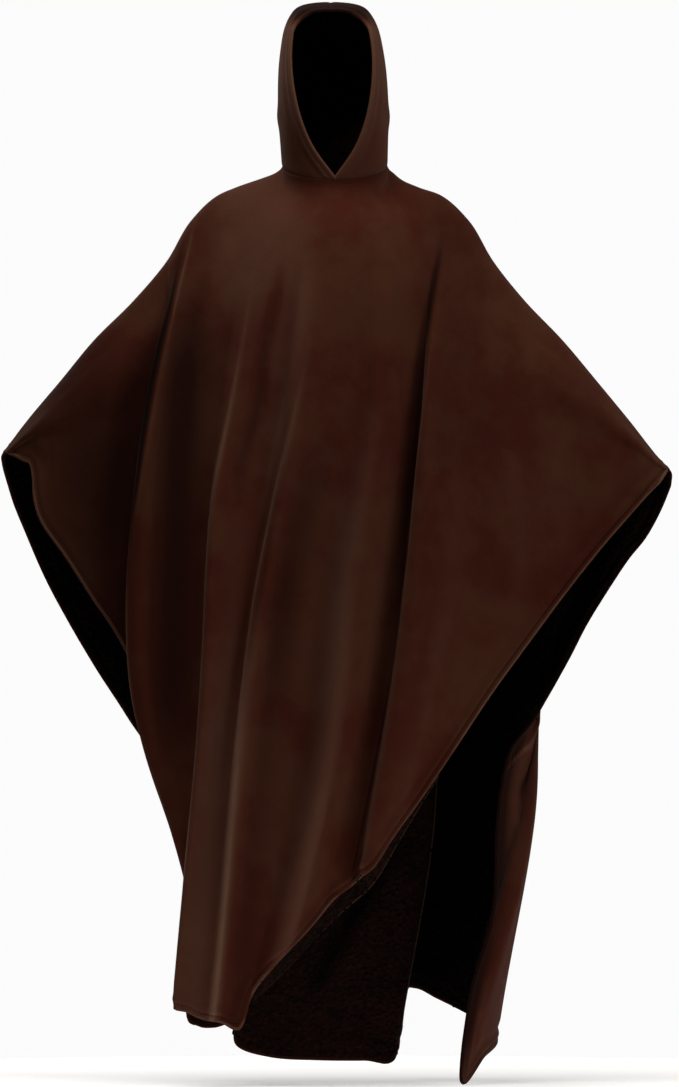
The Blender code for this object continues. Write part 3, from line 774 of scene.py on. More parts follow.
def hang(top, points, side, rows):
    """The panel's middle surface: a grid of points, column by column, at the rows that each column has."""
    knots = np.array(STATIONS)
    reach = np.linalg.norm(points[1] - points[0], axis=1)[:, None] / (knots[1] - knots[0])
    on_arm = smooth_step((np.abs(top) - COLLAR_START) / COLLAR_BLEND)[:, None]
    start = unit(on_arm * np.array([0.0, side, 0.0]) - (1 - on_arm) * neck_plane_normal()) * reach
    slope = np.diff(points, axis=0) / np.diff(knots)[:, None, None]
    width = np.diff(knots)
    tangents = [start]
    for i in range(1, len(knots) - 1):
        tangents.append((slope[i - 1] * width[i] + slope[i] * width[i - 1]) / (width[i] + width[i - 1]))
    tangents.append(slope[-1])
    tangents = np.stack(tangents)
    i = np.clip(np.searchsorted(knots, rows, side="right") - 1, 0, len(knots) - 2)
    column = np.arange(len(top))[:, None]
    size = width[i][..., None]
    t = ((rows - knots[i]) / width[i])[..., None]
    first = (1 + 2 * t) * (1 - t) ** 2 * points[i, column] + t * (1 - t) ** 2 * size * tangents[i, column]
    second = t * t * (3 - 2 * t) * points[i + 1, column]
    return first + second + t * t * (t - 1) * size * tangents[i + 1, column]


def grid_normals(grid, sign):
    """Outward normals at a grid's points, from the cells around them."""
    cells = unit(sign * np.cross(grid[1:, 1:] - grid[:-1, :-1], grid[:-1, 1:] - grid[1:, :-1]))
    normals = np.zeros_like(grid)
    for j in (slice(None, -1), slice(1, None)):
        for i in (slice(None, -1), slice(1, None)):
            normals[j, i] += cells
    normals = unit(normals)
    for axis in (0, 1) * NORMAL_PASSES:
        gaps = np.linalg.norm(np.diff(grid, axis=axis), axis=2, keepdims=True)
        share = np.swapaxes(bell(gaps, FINE_CELL), 0, axis)
        turned = np.swapaxes(normals, 0, axis)
        total = turned.copy()
        total[1:] += share * turned[:-1]
        total[:-1] += share * turned[1:]
        normals = np.swapaxes(unit(total), 0, axis)
    return normals


def without(vectors, direction):
    """Unit vectors with their part along a direction taken out, so that an edge stays in its seam's plane."""
    return unit(vectors - (vectors @ direction)[..., None] * direction)


def soft_collar(grid, top):
    """The grid with the corner that the seam makes beside the neck smoothed below it, down to the chest."""
    below = lengths(grid, 1)
    beside = bell(np.abs(top) - NECK_QUARTER, COLLAR_REACH)[:, None]
    above = 1 - smooth_step((below - COLLAR_END) / COLLAR_FADE)
    share = beside * smooth_step(below / COLLAR_REACH) * above
    return grid + share[..., None] * (smoothed(grid, COLLAR_PASSES) - grid)


def fine_rows(top, points, side, cell):
    """Rows for each column: close together beside the seam and the hem, and even between them."""
    rough = np.tile(np.linspace(0, 1, ROUGH_ROWS), (len(top), 1))
    along = lengths(hang(top, points, side, rough), 1)
    seam = max(SEAM_ROWS, round(SEAM_STRIP / cell))
    hem = max(HEM_ROWS, round(2 * HEM_STRIP / cell))
    middle = round(MIDDLE_SPARE * along.max() / cell / MIDDLE_CELLS)
    middle += (seam + hem + middle) % 2
    rows = np.empty((len(top), seam + middle + hem + 1))
    for j, length in enumerate(along[:, -1]):
        low = min(SEAM_STRIP, STRIP_SHARE * length)
        high = length - min(HEM_STRIP, STRIP_SHARE * length)
        places = np.concatenate([
            np.linspace(0, low, seam, endpoint=False),
            np.linspace(low, high, middle, endpoint=False),
            np.linspace(high, length, hem + 1),
        ])
        rows[j] = np.interp(places, along[j], rough[j])
    return rows


def lengths(grid, axis):
    """Distances along a grid's lines from their first point, on the given axis."""
    gaps = np.linalg.norm(np.diff(grid, axis=axis), axis=2)
    start = np.zeros_like(np.take(gaps, [0], axis=axis))
    return np.concatenate([start, np.cumsum(gaps, axis=axis)], axis=axis)


def crease_relief(creases, top, rows, grid):
    """How far the small creases move each point of a panel outwards, and the tone painted on it: wear and a
    painted highlight on crests, painted shade in hollows.
    """
    across = lengths(grid, 0)
    relief = np.zeros(grid.shape[:2])
    crest = np.zeros(grid.shape[:2])
    column = np.arange(len(top))
    for crease in creases:
        path = np.array(crease.path, float)
        shares = (rows - path[0, 0]) / (path[-1, 0] - path[0, 0])
        within = np.clip(rows, path[0, 0], path[-1, 0]).reshape(-1)
        line = spline(path[:, 0], path[:, 1:], within).reshape(rows.shape)
        for i in range(rows.shape[1]):
            place = np.interp(line[:, i], top, column)
            away = across[:, i] - np.interp(place, column, across[:, i])
            reach = np.where(away < 0, crease.left, crease.right)
            fade = smooth_step(shares[:, i] / CREASE_FADE) * smooth_step((1 - shares[:, i]) / CREASE_FADE)
            relief[:, i] += crease.height * fade * np.exp(-np.abs(away / reach) ** crease.sharp)
            # The tone paints the nap: wear and a painted highlight above 0, painted shade below 0
            if 0 < crease.worn and crease.sharp < ROUND_FORM:
                reach = CREST_WIDTH
            crest[:, i] += crease.worn * fade * np.exp(-np.abs(away / reach) ** crease.sharp)
    return relief, crest


def outer_edge(grid):
    """The grid's outer edge as a line of points: up one cuff, along the hem and up the other."""
    return np.vstack([grid[0, :-1], grid[:-1, -1], grid[-1, ::-1]])


def edge_distance(grid, edge):
    """Distance of each point of a grid from a line of points."""
    along = lengths(edge[None], 1)[0]
    places = np.arange(0, along[-1], 1.0)
    line = np.stack([np.interp(places, along, edge[:, axis]) for axis in range(3)], axis=1)
    tree = KDTree(len(line))
    for i, point in enumerate(line):
        tree.insert(point, i)
    tree.balance()
    return np.array([tree.find(point)[2] for point in grid.reshape(-1, 3)]).reshape(grid.shape[:2])


def hem_relief(distance, inset):
    """The turned edge: a soft band that the stitch line presses down, and a shallow hollow beyond it."""
    relief = np.zeros(distance.shape)
    for band in HEM_BANDS:
        relief += band.height * bell(distance - inset * band.share - band.beyond, band.reach)
    return relief


# crest is the tone painted on the nap: wear and a painted highlight above 0, painted shade below 0
Surface = namedtuple("Surface", "grid normals edge crest top rows seam_gap")


def panel_surface(folds, creases, side, cell, depth, inset):
    """The surface of a front or back panel with its small creases, and its outward normals."""
    top, points = fold_stations(folds, side, cell / MM)
    rows = fine_rows(top, points, side, cell / MM)
    grid = soft_collar(hang(top, points, side, rows), top)
    normals = grid_normals(grid, side)
    across = np.array([0.0, 1.0, 0.0])
    at_shoulder = np.abs(np.abs(top) - NECK_QUARTER) < ON_SEAM
    on_neck = np.abs(top) < NECK_QUARTER - ON_SEAM
    on_arm = ~on_neck & ~at_shoulder
    normals[on_neck, 0] = without(normals[on_neck, 0], neck_plane_normal())
    normals[on_arm, 0] = without(normals[on_arm, 0], across)
    for column in np.flatnonzero(at_shoulder):
        normals[column, 0] = (math.copysign(1.0, top[column]), 0.0, 0.0)
    grid[on_neck | at_shoulder, 0] += neck_plane_normal() * SEAM_LAP / 2
    grid[on_arm | at_shoulder, 0] -= across * side * SEAM_LAP / 2
    distance = edge_distance(grid, outer_edge(grid))
    from_seam = lengths(grid, 1)
    relief, crest = crease_relief(creases, top, rows, grid)
    relief *= depth * smooth_step(distance / EDGE_CALM) * smooth_step(from_seam / SEAM_CALM)
    pressed = PRESSED_LEAST + (1 - PRESSED_LEAST) * smooth_step((top - PRESSED_FROM) / PRESSED_REACH)
    if side > 0:
        starts = smooth_step((top - ROLLED_FROM) / ROLLED_FADE)
        rolled = starts * smooth_step((ROLLED_TO - top) / ROLLED_FADE)
        pressed = 1 - ROLLED_PRESS * rolled
        rolled = rolled[:, None] * bell(distance, ROLLED_REACH)
        relief -= ROLLED_DEPTH * rolled
        # Painted shade on the edge that rolls inwards
        crest = crest - ROLLED_SHADE * rolled
    relief += pressed[:, None] * hem_relief(distance, inset / MM) * smooth_step(from_seam / HEM_CALM)
    relief -= SEAM_TROUGH * bell(from_seam, SEAM_TROUGH_REACH)
    crest = crest - NECK_SHADE * on_neck[:, None] * bell(from_seam, NECK_SHADE_REACH)
    crest = np.clip(crest, *PAINTED_LIGHT_RANGE)
    return Surface(grid + normals * relief[..., None], normals, distance, crest, top, rows, from_seam)


def hood_surface(sections, sign, cell, depth, inset):
    """The surface of one hood half (sign is its side) with its small creases, and its outward normals."""
    scale = 2 * max(1, round(HOOD_CELL / cell))
    table = np.array([section[1:7] for section in sections], float)
    knots = spacing(np.stack([table[:, 0:3], np.insert(table[:, 3:5], 0, 0, axis=1)], axis=1))
    places = stepped(knots, [section.steps * scale for section in sections[:-1]])
    face_x, face_y, face_z, seam_y, seam_z, half_width = spline(knots, table, places).T
    first = -np.arccos(np.clip(face_x / half_width, 0, 1))
    columns = HOOD_COLUMNS * scale
    angle = first[:, None] + np.linspace(0, 1, columns + 1) * (math.pi / 2 - first)[:, None]
    share = (np.sin(angle) - np.sin(first)[:, None]) / (1 - np.sin(first))[:, None]
    x = half_width[:, None] * np.cos(angle)
    y = face_y[:, None] + (seam_y - face_y)[:, None] * share
    z = face_z[:, None] + (seam_z - face_z)[:, None] * share
    grid = np.stack([x, y, z], axis=2)
    from_face = lengths(grid, 1)
    from_centre = from_face[:, -1:] - from_face
    from_neck = lengths(grid, 0)
    brim = np.linalg.norm(grid[-1:] - grid, axis=2)
    distance = np.minimum(from_face, np.where(places[:, None] > knots[-3], brim, np.inf))
    droop = BRIM_DROOP * smooth_step((z - HOOD_SHADE + DROOP_START) / DROOP_RISE)
    grid[..., 2] -= droop * bell(distance, BRIM_REACH)
    normals = grid_normals(grid, -1)
    normals[0] = without(normals[0], neck_plane_normal())
    normals[:, -1] = without(normals[:, -1], np.array([1.0, 0.0, 0.0]))
    normals[0, -1] = without(normals[0, -1], neck_plane_normal())
    normals[0, 0] = without(np.array([0.0, -1.0, 0.0]), neck_plane_normal())
    relief = np.zeros(grid.shape[:2])
    here = np.stack(np.meshgrid(np.linspace(0, 1, columns + 1), places / knots[-1]), axis=2)
    size = np.array([from_face.max(), from_neck.max()])
    for crease in HOOD_CREASES:
        start = np.array([crease.across, crease.place])
        span = (np.array([crease.end_across, crease.end_place]) - start) * size
        t = np.clip(((here - start) * size) @ span / (span @ span), 0, 1)
        away = np.linalg.norm((here - start) * size - t[..., None] * span, axis=2)
        fade = smooth_step(t / HOOD_CREASE_FADE)
        fade_end = smooth_step((1 - t) / HOOD_CREASE_FADE)
        relief += crease.height * bell(away, crease.reach) * fade * fade_end
    calm = depth * smooth_step(distance / HOOD_CALM) * smooth_step(from_neck / HOOD_NECK_CALM)
    relief *= calm * smooth_step(from_centre / HOOD_CALM)
    turned = HOOD_HEM_SHARE * hem_relief(distance, inset / MM * HOOD_INSET_SHARE)
    relief += turned * smooth_step(from_neck / HOOD_HEM_CALM)
    trough = CENTRE_TROUGH * bell(from_centre, CENTRE_TROUGH_REACH)
    relief -= trough + SEAM_TROUGH * bell(from_neck, SEAM_TROUGH_REACH)
    grid = grid + normals * relief[..., None]
    grid[0] -= neck_plane_normal() * SEAM_LAP / 2
    grid[..., 0] -= SEAM_LAP / 2
    grid[..., 0] *= sign
    normals[..., 0] *= sign
    grid[..., 0] += HOOD_LEAN * grid[..., 2]
    # The hood's nap gets a pale tone, a painted highlight beside the brim, and painted shade on the crown
    worn = HOOD_PALE_TONE + BRIM_HIGHLIGHT * bell(distance, BRIM_HIGHLIGHT_REACH)
    shade = HOOD_SHADE_DEPTH * smooth_step((z - HOOD_SHADE) / HOOD_SHADE_RISE)
    worn -= shade * smooth_step((HOOD_SHADE_BACK - y) / HOOD_SHADE_FADE)
    return Surface(grid, normals, distance, worn, from_face, places, from_neck)


# Meshes

def garment_collection():
    """The collection that holds the cloth, made when it is first asked for."""
    name = "hooded_blanket_cloth"
    made = bpy.data.collections.get(name)
    if made is None:
        made = bpy.data.collections.new(name)
        bpy.context.scene.collection.children.link(made)
    return made


def new_object(name, mesh):
    """A new object in the garment's collection."""
    made = bpy.data.objects.new(name, mesh)
    garment_collection().objects.link(made)
    return made


def mark_points(mesh, name, values):
    """Gives a mesh's points an attribute: a number each, or a direction where the values have three parts."""
    values = np.asarray(values, np.float32)
    kind, field = ("FLOAT_VECTOR", "vector") if values.ndim > 1 else ("FLOAT", "value")
    layer = mesh.attributes.new(name, kind, "POINT")
    layer.data.foreach_set(field, values.reshape(-1))


def signed_volume(points, faces):
    """Six times the volume inside a closed mesh, negative if its faces point inwards."""
    total = 0.0
    points = np.asarray(points)
    for size in sorted({len(face) for face in faces}):
        group = np.array([face for face in faces if len(face) == size])
        for k in range(1, size - 1):
            a, b, c = points[group[:, 0]], points[group[:, k]], points[group[:, k + 1]]
            total += float(np.sum(a * np.cross(b, c)))
    return total


def ply(name, surface, shown, hidden, finish, marks):
    """A closed cloth wall: the shown side in full, and the side on the other ply with half the lines."""
    grid, normals = surface.grid, surface.normals
    columns, rows = grid.shape[:2]
    front = (grid + normals * shown).reshape(-1, 3)
    behind = (grid[::2, ::2] + normals[::2, ::2] * hidden)
    half_columns, half_rows = behind.shape[:2]
    behind = behind.reshape(-1, 3)
    index = np.arange(columns * rows).reshape(columns, rows)
    half = np.arange(half_columns * half_rows).reshape(half_columns, half_rows) + columns * rows

    def quads(table):
        corners = [table[:-1, :-1], table[1:, :-1], table[1:, 1:], table[:-1, 1:]]
        return np.stack(corners, axis=-1).reshape(-1, 4)

    def border(table):
        return np.concatenate([table[:-1, 0], table[-1, :-1], table[:0:-1, -1], table[0, :0:-1]])

    faces = quads(index).tolist() + quads(half)[:, ::-1].tolist()
    fine, coarse = border(index), border(half)
    for k in range(len(coarse)):
        a, b, c = fine[2 * k], fine[2 * k + 1], fine[(2 * k + 2) % len(fine)]
        faces.append([int(v) for v in (c, b, a, coarse[k], coarse[(k + 1) % len(coarse)])])
    points = np.vstack([front, behind]) * MM
    if signed_volume(points, faces) < 0:
        faces = [face[::-1] for face in faces]
    mesh = bpy.data.meshes.new(name)
    mesh.from_pydata(points.tolist(), [], faces)
    mesh.update()
    for mark, values in marks.items():
        mark_points(mesh, mark, np.concatenate([values.reshape(-1), np.zeros(len(behind))]))
    mesh.materials.append(finish)
    mesh.shade_smooth()
    return new_object(name, mesh)


def declare(piece, node=None, with_pieces=()):
    """Attaches a piece to the body it rides on, and hides the CAD part that it stands for, if one is given.
    """
    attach(piece, BODY)
    if node is not None:
        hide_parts(node)


# Node trees

class Wire:
    """A number socket. Sums written with it add their Math nodes."""

    def __init__(self, tree, socket):
        self.tree = tree
        self.socket = socket

    def math(self, operation, first, second=None):
        made = self.tree.node("ShaderNodeMath", {"operation": operation}, {0: first, 1: second})
        return Wire(self.tree, made[0])

    def __add__(self, other):
        return self.math("ADD", self, other)

    def __radd__(self, other):
        return self.math("ADD", other, self)

    def __sub__(self, other):
        return self.math("SUBTRACT", self, other)

    def __rsub__(self, other):
        return self.math("SUBTRACT", other, self)

    def __mul__(self, other):
        return self.math("MULTIPLY", self, other)

    def __rmul__(self, other):
        return self.math("MULTIPLY", other, self)

    def above(self, least):
        """The number itself, but never less than the least."""
        return self.math("MAXIMUM", self, least)

    def band(self, low, high):
        """0 below low, 1 above high, and a smooth rise between them."""
        made = self.tree.node(
            "ShaderNodeMapRange", {"interpolation_type": "SMOOTHSTEP"},
            {"Value": self, "From Min": low, "From Max": high})
        return Wire(self.tree, made[0])


class Tree:
    """A node tree with one method that adds any node."""

    def __init__(self, tree):
        self.tree = tree

    def node(self, kind, settings=None, values=None):
        """Adds a node. Its settings are set first, then its sockets."""
        made = self.tree.nodes.new(kind)
        for key, value in (settings or {}).items():
            setattr(made, key, value)
        self.fill(made, values or {})
        return made.outputs

    def fill(self, made, values):
        """Sets a node's sockets, by name or place, to values, or links them to wires and other sockets."""
        for key, value in values.items():
            if value is None:
                continue
            if isinstance(value, Wire):
                value = value.socket
            if isinstance(value, bpy.types.NodeSocket):
                self.tree.links.new(value, made.inputs[key])
            else:
                made.inputs[key].default_value = value

    def wire(self, kind, settings=None, values=None, output=0):
        return Wire(self, self.node(kind, settings, values)[output])

    def noise(self, place, scale, detail=2.0, roughness=0.5):
        return self.wire(
            "ShaderNodeTexNoise", {},
            {"Vector": place, "Scale": scale, "Detail": detail, "Roughness": roughness})

    def mixed(self, share, first, second, blend="MIX"):
        """A colour between two, or one on the other."""
        settings = {"data_type": "RGBA", "blend_type": blend}
        return self.node("ShaderNodeMix", settings, {0: share, 6: first, 7: second})[2]

    def bump(self, height, distance, strength=1.0, normal=None):
        return self.node(
            "ShaderNodeBump", {},
            {"Height": height, "Distance": distance, "Strength": strength, "Normal": normal})[0]

    def crest_marks(self):
        """How pale and how dark the crest attribute paints a surface, each from 0 up: wear with a painted
        highlight, and painted shade.
        """
        crest = self.wire("ShaderNodeAttribute", {"attribute_name": "crest"}, None, 2)
        return crest.above(0.0), (0.0 - crest).above(0.0)


def dimmed(colour, share):
    """The colour at a share of its brightness."""
    return tuple(share * part for part in colour[:3]) + (1.0,)


def new_finish(name):
    """A material with its tree, its Principled BSDF and the socket of places on the object."""
    made = bpy.data.materials.new(name)
    made.use_nodes = True
    tree = Tree(made.node_tree)
    return made, tree, made.node_tree.nodes["Principled BSDF"], tree.node("ShaderNodeTexCoord")["Object"]


def fleece_finish(look):
    """Smooth brushed fleece: mottled, pale on its crests with wear and a painted highlight, and dark in its
    hollows with painted shade.
    """
    name = "blanket_fleece"
    if name in bpy.data.materials:
        return bpy.data.materials[name]
    made, tree, shader, place = new_finish(name)
    broad = tree.noise(place, 4.6, 3.0, 0.55)
    patch = tree.noise(place, 24.0, 3.0, 0.6)
    brushed = tree.node("ShaderNodeMapping", {}, {"Vector": place, "Scale": (1.0, 1.0, 0.35)})[0]
    nap = tree.noise(brushed, 0.8 / look.nap, 3.0, 0.6)
    fibre = tree.noise(place, 3.2 / look.nap, 1.0, 0.5)
    pale, painted_shade = tree.crest_marks()
    flat = (broad * 0.7 + patch * 0.3).band(0.4, 0.6)
    colour = tree.mixed(flat, tuple(look.colour), tuple(look.warm))
    # Painted shade in the hollows, near black where the tone is below -1, and a pale tone on the crests, as
    # wear and a painted highlight
    colour = tree.mixed(painted_shade, colour, tuple(look.hollow))
    colour = tree.mixed(painted_shade - 1.0, colour, dimmed(look.hollow, 0.1))
    colour = tree.mixed(pale * (0.7 + 0.3 * patch), colour, tuple(look.crest))
    shade = 0.86 + 0.28 * nap
    dust = tree.node("ShaderNodeCombineColor", {}, {0: shade, 1: shade, 2: shade})[0]
    soft = tree.bump(patch, 0.004, 0.35)
    tree.fill(shader, {
        "Base Color": tree.mixed(1.0, colour, dust, "MULTIPLY"),
        "Roughness": 0.84 + 0.12 * patch,
        "Normal": tree.bump(nap * 0.7 + fibre * 0.3, look.nap * 0.5, 0.6, soft),
        "Specular IOR Level": 0.06,
        "Sheen Weight": 0.04,
        "Sheen Roughness": 0.35,
        "Sheen Tint": (0.8, 0.55, 0.42, 1.0),
    })
    return made


def pile_finish(look):
    """Curly pile: clumps with paler tips, near black with painted shade in its hollows, and pale with a
    painted highlight over a fold.
    """
    name = "blanket_pile"
    if name in bpy.data.materials:
        return bpy.data.materials[name]
    made, tree, shader, place = new_finish(name)
    clump = tree.wire(
        "ShaderNodeTexVoronoi", {"feature": "SMOOTH_F1"}, {"Vector": place, "Scale": 0.62 / look.curl})
    curl = tree.noise(place, 1.6 / look.curl, 3.0, 0.65)
    strand = tree.noise(place, 5.0 / look.curl, 2.0, 0.6)
    matted = tree.noise(place, 14.0, 3.0, 0.6)
    tips = ((1 - clump) * 0.35 + curl * 0.3 + matted * 0.35).band(0.38, 0.72)
    pale, painted_shade = tree.crest_marks()
    colour = tree.mixed(tips, dimmed(look.colour, 0.45), tuple(look.tips))
    # Painted shade, near black, in the lining's hollows, and a painted highlight over the fold lines
    colour = tree.mixed(painted_shade, colour, dimmed(look.colour, 0.1))
    lumps = tree.bump(1 - clump, look.curl * 0.7, 0.8)
    tree.fill(shader, {
        "Base Color": tree.mixed(pale * (0.4 + 0.6 * curl), colour, tuple(look.fold)),
        "Roughness": 0.86 + 0.12 * curl,
        "Normal": tree.bump(curl * 0.6 + strand * 0.4, look.curl * 0.35, 0.6, lumps),
        "Specular IOR Level": 0.03,
        "Sheen Weight": 0.012,
        "Sheen Roughness": 0.5,
        "Sheen Tint": (0.5, 0.34, 0.27, 1.0),
    })
    return made


def thread_finish(look):
    """Dark twisted sewing thread."""
    name = "blanket_thread"
    if name in bpy.data.materials:
        return bpy.data.materials[name]
    made, tree, shader, place = new_finish(name)
    twist = tree.wire(
        "ShaderNodeTexWave", {"bands_direction": "DIAGONAL"}, {"Vector": place, "Scale": 900.0})
    strand = tree.noise(place, 700.0)
    tree.fill(shader, {
        "Base Color": tree.mixed(strand, tuple(look.colour), dimmed(look.colour, 0.55)),
        "Roughness": 0.5 + 0.2 * strand,
        "Normal": tree.bump(twist, 0.0002, 0.5),
        "Specular IOR Level": 0.1,
    })
    return made


def geometry_tree(name, numbers):
    """A Geometry Nodes tree with named number inputs. Gives the tree, its input's sockets and its output."""
    group = bpy.data.node_groups.new(name, "GeometryNodeTree")
    group.interface.new_socket("Geometry", in_out="INPUT", socket_type="NodeSocketGeometry")
    for label, value in numbers.items():
        kind = "NodeSocketInt" if isinstance(value, int) else "NodeSocketFloat"
        group.interface.new_socket(label, in_out="INPUT", socket_type=kind).default_value = value
    group.interface.new_socket("Geometry", in_out="OUTPUT", socket_type="NodeSocketGeometry")
    tree = Tree(group)
    entry = tree.node("NodeGroupInput")
    leave = group.nodes.new("NodeGroupOutput")
    return tree, entry, leave


def finish_tree(tree, leave, geometry, finish):
    """Ends a tree: real geometry, smooth, in its finish."""
    real = tree.node("GeometryNodeRealizeInstances", {}, {"Geometry": geometry})[0]
    smooth = tree.node("GeometryNodeSetShadeSmooth", {}, {"Geometry": real})[0]
    done = tree.node("GeometryNodeSetMaterial", {}, {"Geometry": smooth, "Material": finish})[0]
    tree.tree.links.new(done, leave.inputs[0])
    return tree.tree


def grown(name, source, group, numbers):
    """Runs a Geometry Nodes tree on a mesh and gives the result as a plain mesh object."""
    holder = new_object(name + "_source", source)
    modifier = holder.modifiers.new("grow", "NODES")
    modifier.node_group = group
    for item in group.interface.items_tree:
        if item.item_type == "SOCKET" and item.in_out == "INPUT" and item.name in numbers:
            modifier[item.identifier] = numbers[item.name]
    depsgraph = bpy.context.evaluated_depsgraph_get()
    mesh = bpy.data.meshes.new_from_object(holder.evaluated_get(depsgraph), depsgraph=depsgraph)
    holder.modifiers.clear()
    bpy.data.objects.remove(holder)
    mesh.name = name
    if not len(mesh.polygons):
        raise RuntimeError(name + " came out empty")
    for attribute in ("pile", "up"):
        found = mesh.attributes.get(attribute)
        if found is not None:
            mesh.attributes.remove(found)
    return new_object(name, mesh)


def line_mesh(name, points, up, rubbing_and_painted_light=0.0):
    """A mesh of edges along a path that keeps the surface's normals and the tone painted along it: wear, a
    painted highlight and painted shade.
    """
    mesh = bpy.data.meshes.new(name)
    edges = [(i, i + 1) for i in range(len(points) - 1)]
    mesh.from_pydata((np.asarray(points) * MM).tolist(), edges, [])
    mark_points(mesh, "up", up)
    mark_points(mesh, "crest", np.broadcast_to(rubbing_and_painted_light, len(points)))
    return mesh


def curve_points(tree, entry, step):
    """The path that a tree is given, as a curve with points at even steps."""
    curve = tree.node("GeometryNodeMeshToCurve", {}, {"Mesh": entry["Geometry"]})[0]
    return tree.node("GeometryNodeResampleCurve", {"mode": "LENGTH"}, {"Curve": curve, "Length": step})[0]


def on_points(tree, points, shape, turn, size):
    """A shape on every point, turned and sized."""
    return tree.node(
        "GeometryNodeInstanceOnPoints", {},
        {"Points": points, "Instance": shape, "Rotation": turn, "Scale": size})[0]


def random_vector(tree, least, most, seed):
    """A vector drawn for each point between two."""
    return tree.node(
        "FunctionNodeRandomValue", {"data_type": "FLOAT_VECTOR"}, {0: least, 1: most, "Seed": seed})[0]


def stitch_tree(finish):
    """Stitches in a row along a path, each a small bead that lies along it."""
    numbers = {"Stitch": 0.0036, "Gap": 0.0013, "Thread": 0.0009}
    tree, entry, leave = geometry_tree("blanket_stitches", numbers)
    stitch, gap, thread = (Wire(tree, entry[label]) for label in ("Stitch", "Gap", "Thread"))
    points = curve_points(tree, entry, stitch + gap)
    along = tree.node("GeometryNodeInputTangent")[0]
    up = tree.node("GeometryNodeInputNamedAttribute", {"data_type": "FLOAT_VECTOR"}, {"Name": "up"})[0]
    turn = tree.node(
        "FunctionNodeAxesToRotation", {"primary_axis": "X", "secondary_axis": "Z"},
        {"Primary Axis": along, "Secondary Axis": up})[0]
    bead = tree.node("GeometryNodeMeshUVSphere", {}, {"Segments": 6, "Rings": 4, "Radius": 0.5})["Mesh"]
    size = tree.node("ShaderNodeCombineXYZ", {}, {0: stitch, 1: thread, 2: thread})[0]
    return finish_tree(tree, leave, on_points(tree, points, bead, turn, size), finish)


def roll_tree(finish):
    """A round roll along a path."""
    tree, entry, leave = geometry_tree("blanket_edge_roll", {"Radius": 0.0033, "Step": 0.006})
    points = curve_points(tree, entry, entry["Step"])
    circle = tree.node(
        "GeometryNodeCurvePrimitiveCircle", {}, {"Resolution": 10, "Radius": entry["Radius"]})[0]
    tube = tree.node(
        "GeometryNodeCurveToMesh", {}, {"Curve": points, "Profile Curve": circle, "Fill Caps": True})[0]
    return finish_tree(tree, leave, tube, finish)


def curl_tree(finish):
    """Curls of pile scattered where a mesh's pile attribute says, each a small lump turned at random."""
    tree, entry, leave = geometry_tree("blanket_pile_curls", {"Spacing": 0.0076, "Curl": 0.0052, "Seed": 7})
    share = tree.node("GeometryNodeInputNamedAttribute", {"data_type": "FLOAT"}, {"Name": "pile"})[0]
    scatter = tree.node(
        "GeometryNodeDistributePointsOnFaces", {"distribute_method": "POISSON"},
        {"Mesh": entry["Geometry"], "Distance Min": entry["Spacing"], "Density Max": CURL_DENSITY,
         "Density Factor": share, "Seed": entry["Seed"]})
    lump = tree.node("GeometryNodeMeshIcoSphere", {}, {"Radius": 1.0, "Subdivisions": 1})["Mesh"]
    most = (CURL_TILT, CURL_TILT, 2 * math.pi)
    spin = random_vector(tree, (-CURL_TILT, -CURL_TILT, 0.0), most, entry["Seed"])
    turn = tree.node(
        "FunctionNodeRotateRotation", {"rotation_space": "LOCAL"}, {0: scatter["Rotation"], 1: spin})[0]
    shape = random_vector(tree, CURL_LEAST, CURL_MOST, entry["Seed"])
    size = tree.node("ShaderNodeVectorMath", {"operation": "SCALE"}, {0: shape, "Scale": entry["Curl"]})[0]
    return finish_tree(tree, leave, on_points(tree, scatter["Points"], lump, turn, size), finish)


def edge_path(surface, inwards, lift):
    """A path beside a panel's outer edge, with the surface's normals along it."""
    edge = outer_edge(surface.grid)
    up = outer_edge(surface.normals)
    keep = np.concatenate([[True], np.linalg.norm(np.diff(edge, axis=0), axis=1) > SAME_PLACE])
    edge, up = edge[keep], up[keep]
    along = np.gradient(edge, axis=0)
    middle = surface.grid[surface.grid.shape[0] // 2, surface.grid.shape[1] // 2]
    inner = unit(np.cross(up, unit(along)))
    towards = np.sum(inner * (middle - edge), axis=1)
    if np.sum(towards) < 0:
        inner = -inner
    for _ in range(ROLL_PASSES):
        inner[1:-1] = unit(inner[:-2] + 2 * inner[1:-1] + inner[2:])
    return edge + inner * inwards + up * lift, up


def inset_path(surface, inset, lift):
    """A path on a panel at a distance from its outer edge, column by column, with its normals."""
    points, ups = [], []
    for column in range(surface.grid.shape[0]):
        away = surface.edge[column]
        inside = np.flatnonzero(away[::-1] > inset)
        if not len(inside) or inside[0] == 0:
            continue
        i = len(away) - 1 - inside[0]
        t = (away[i] - inset) / max(away[i] - away[i + 1], 1e-9)
        up = unit(surface.normals[column, i] * (1 - t) + surface.normals[column, i + 1] * t)
        points.append(surface.grid[column, i] * (1 - t) + surface.grid[column, i + 1] * t + up * lift)
        ups.append(up)
    return np.array(points), np.array(ups)


# Pieces

def lining_shade(surface, side):
    """How dark painted shade makes a panel's lining: 0 on the back panel's inner pleat, below 0 in the deep
    hollows and in the painted shadow beside the strip.
    """
    if side < 0:
        return np.full(surface.edge.shape, -DEEP_SHADE)
    deep = smooth_step((surface.top - PLEAT_TOP) / PLEAT_FADE)
    deep += smooth_step((DEEP_RIGHT - surface.top) / DEEP_RIGHT_FADE)
    start, end = np.array(STRIP_SHADE, float)
    span = end - start
    here = surface.grid[..., (0, 2)] - start
    away = here - np.clip(here @ span / (span @ span), 0, 1)[..., None] * span
    beside = bell(np.linalg.norm(away, axis=2), STRIP_SHADE_REACH)
    return -np.maximum(DEEP_SHADE * deep[:, None], STRIP_SHADE_DEPTH * beside)


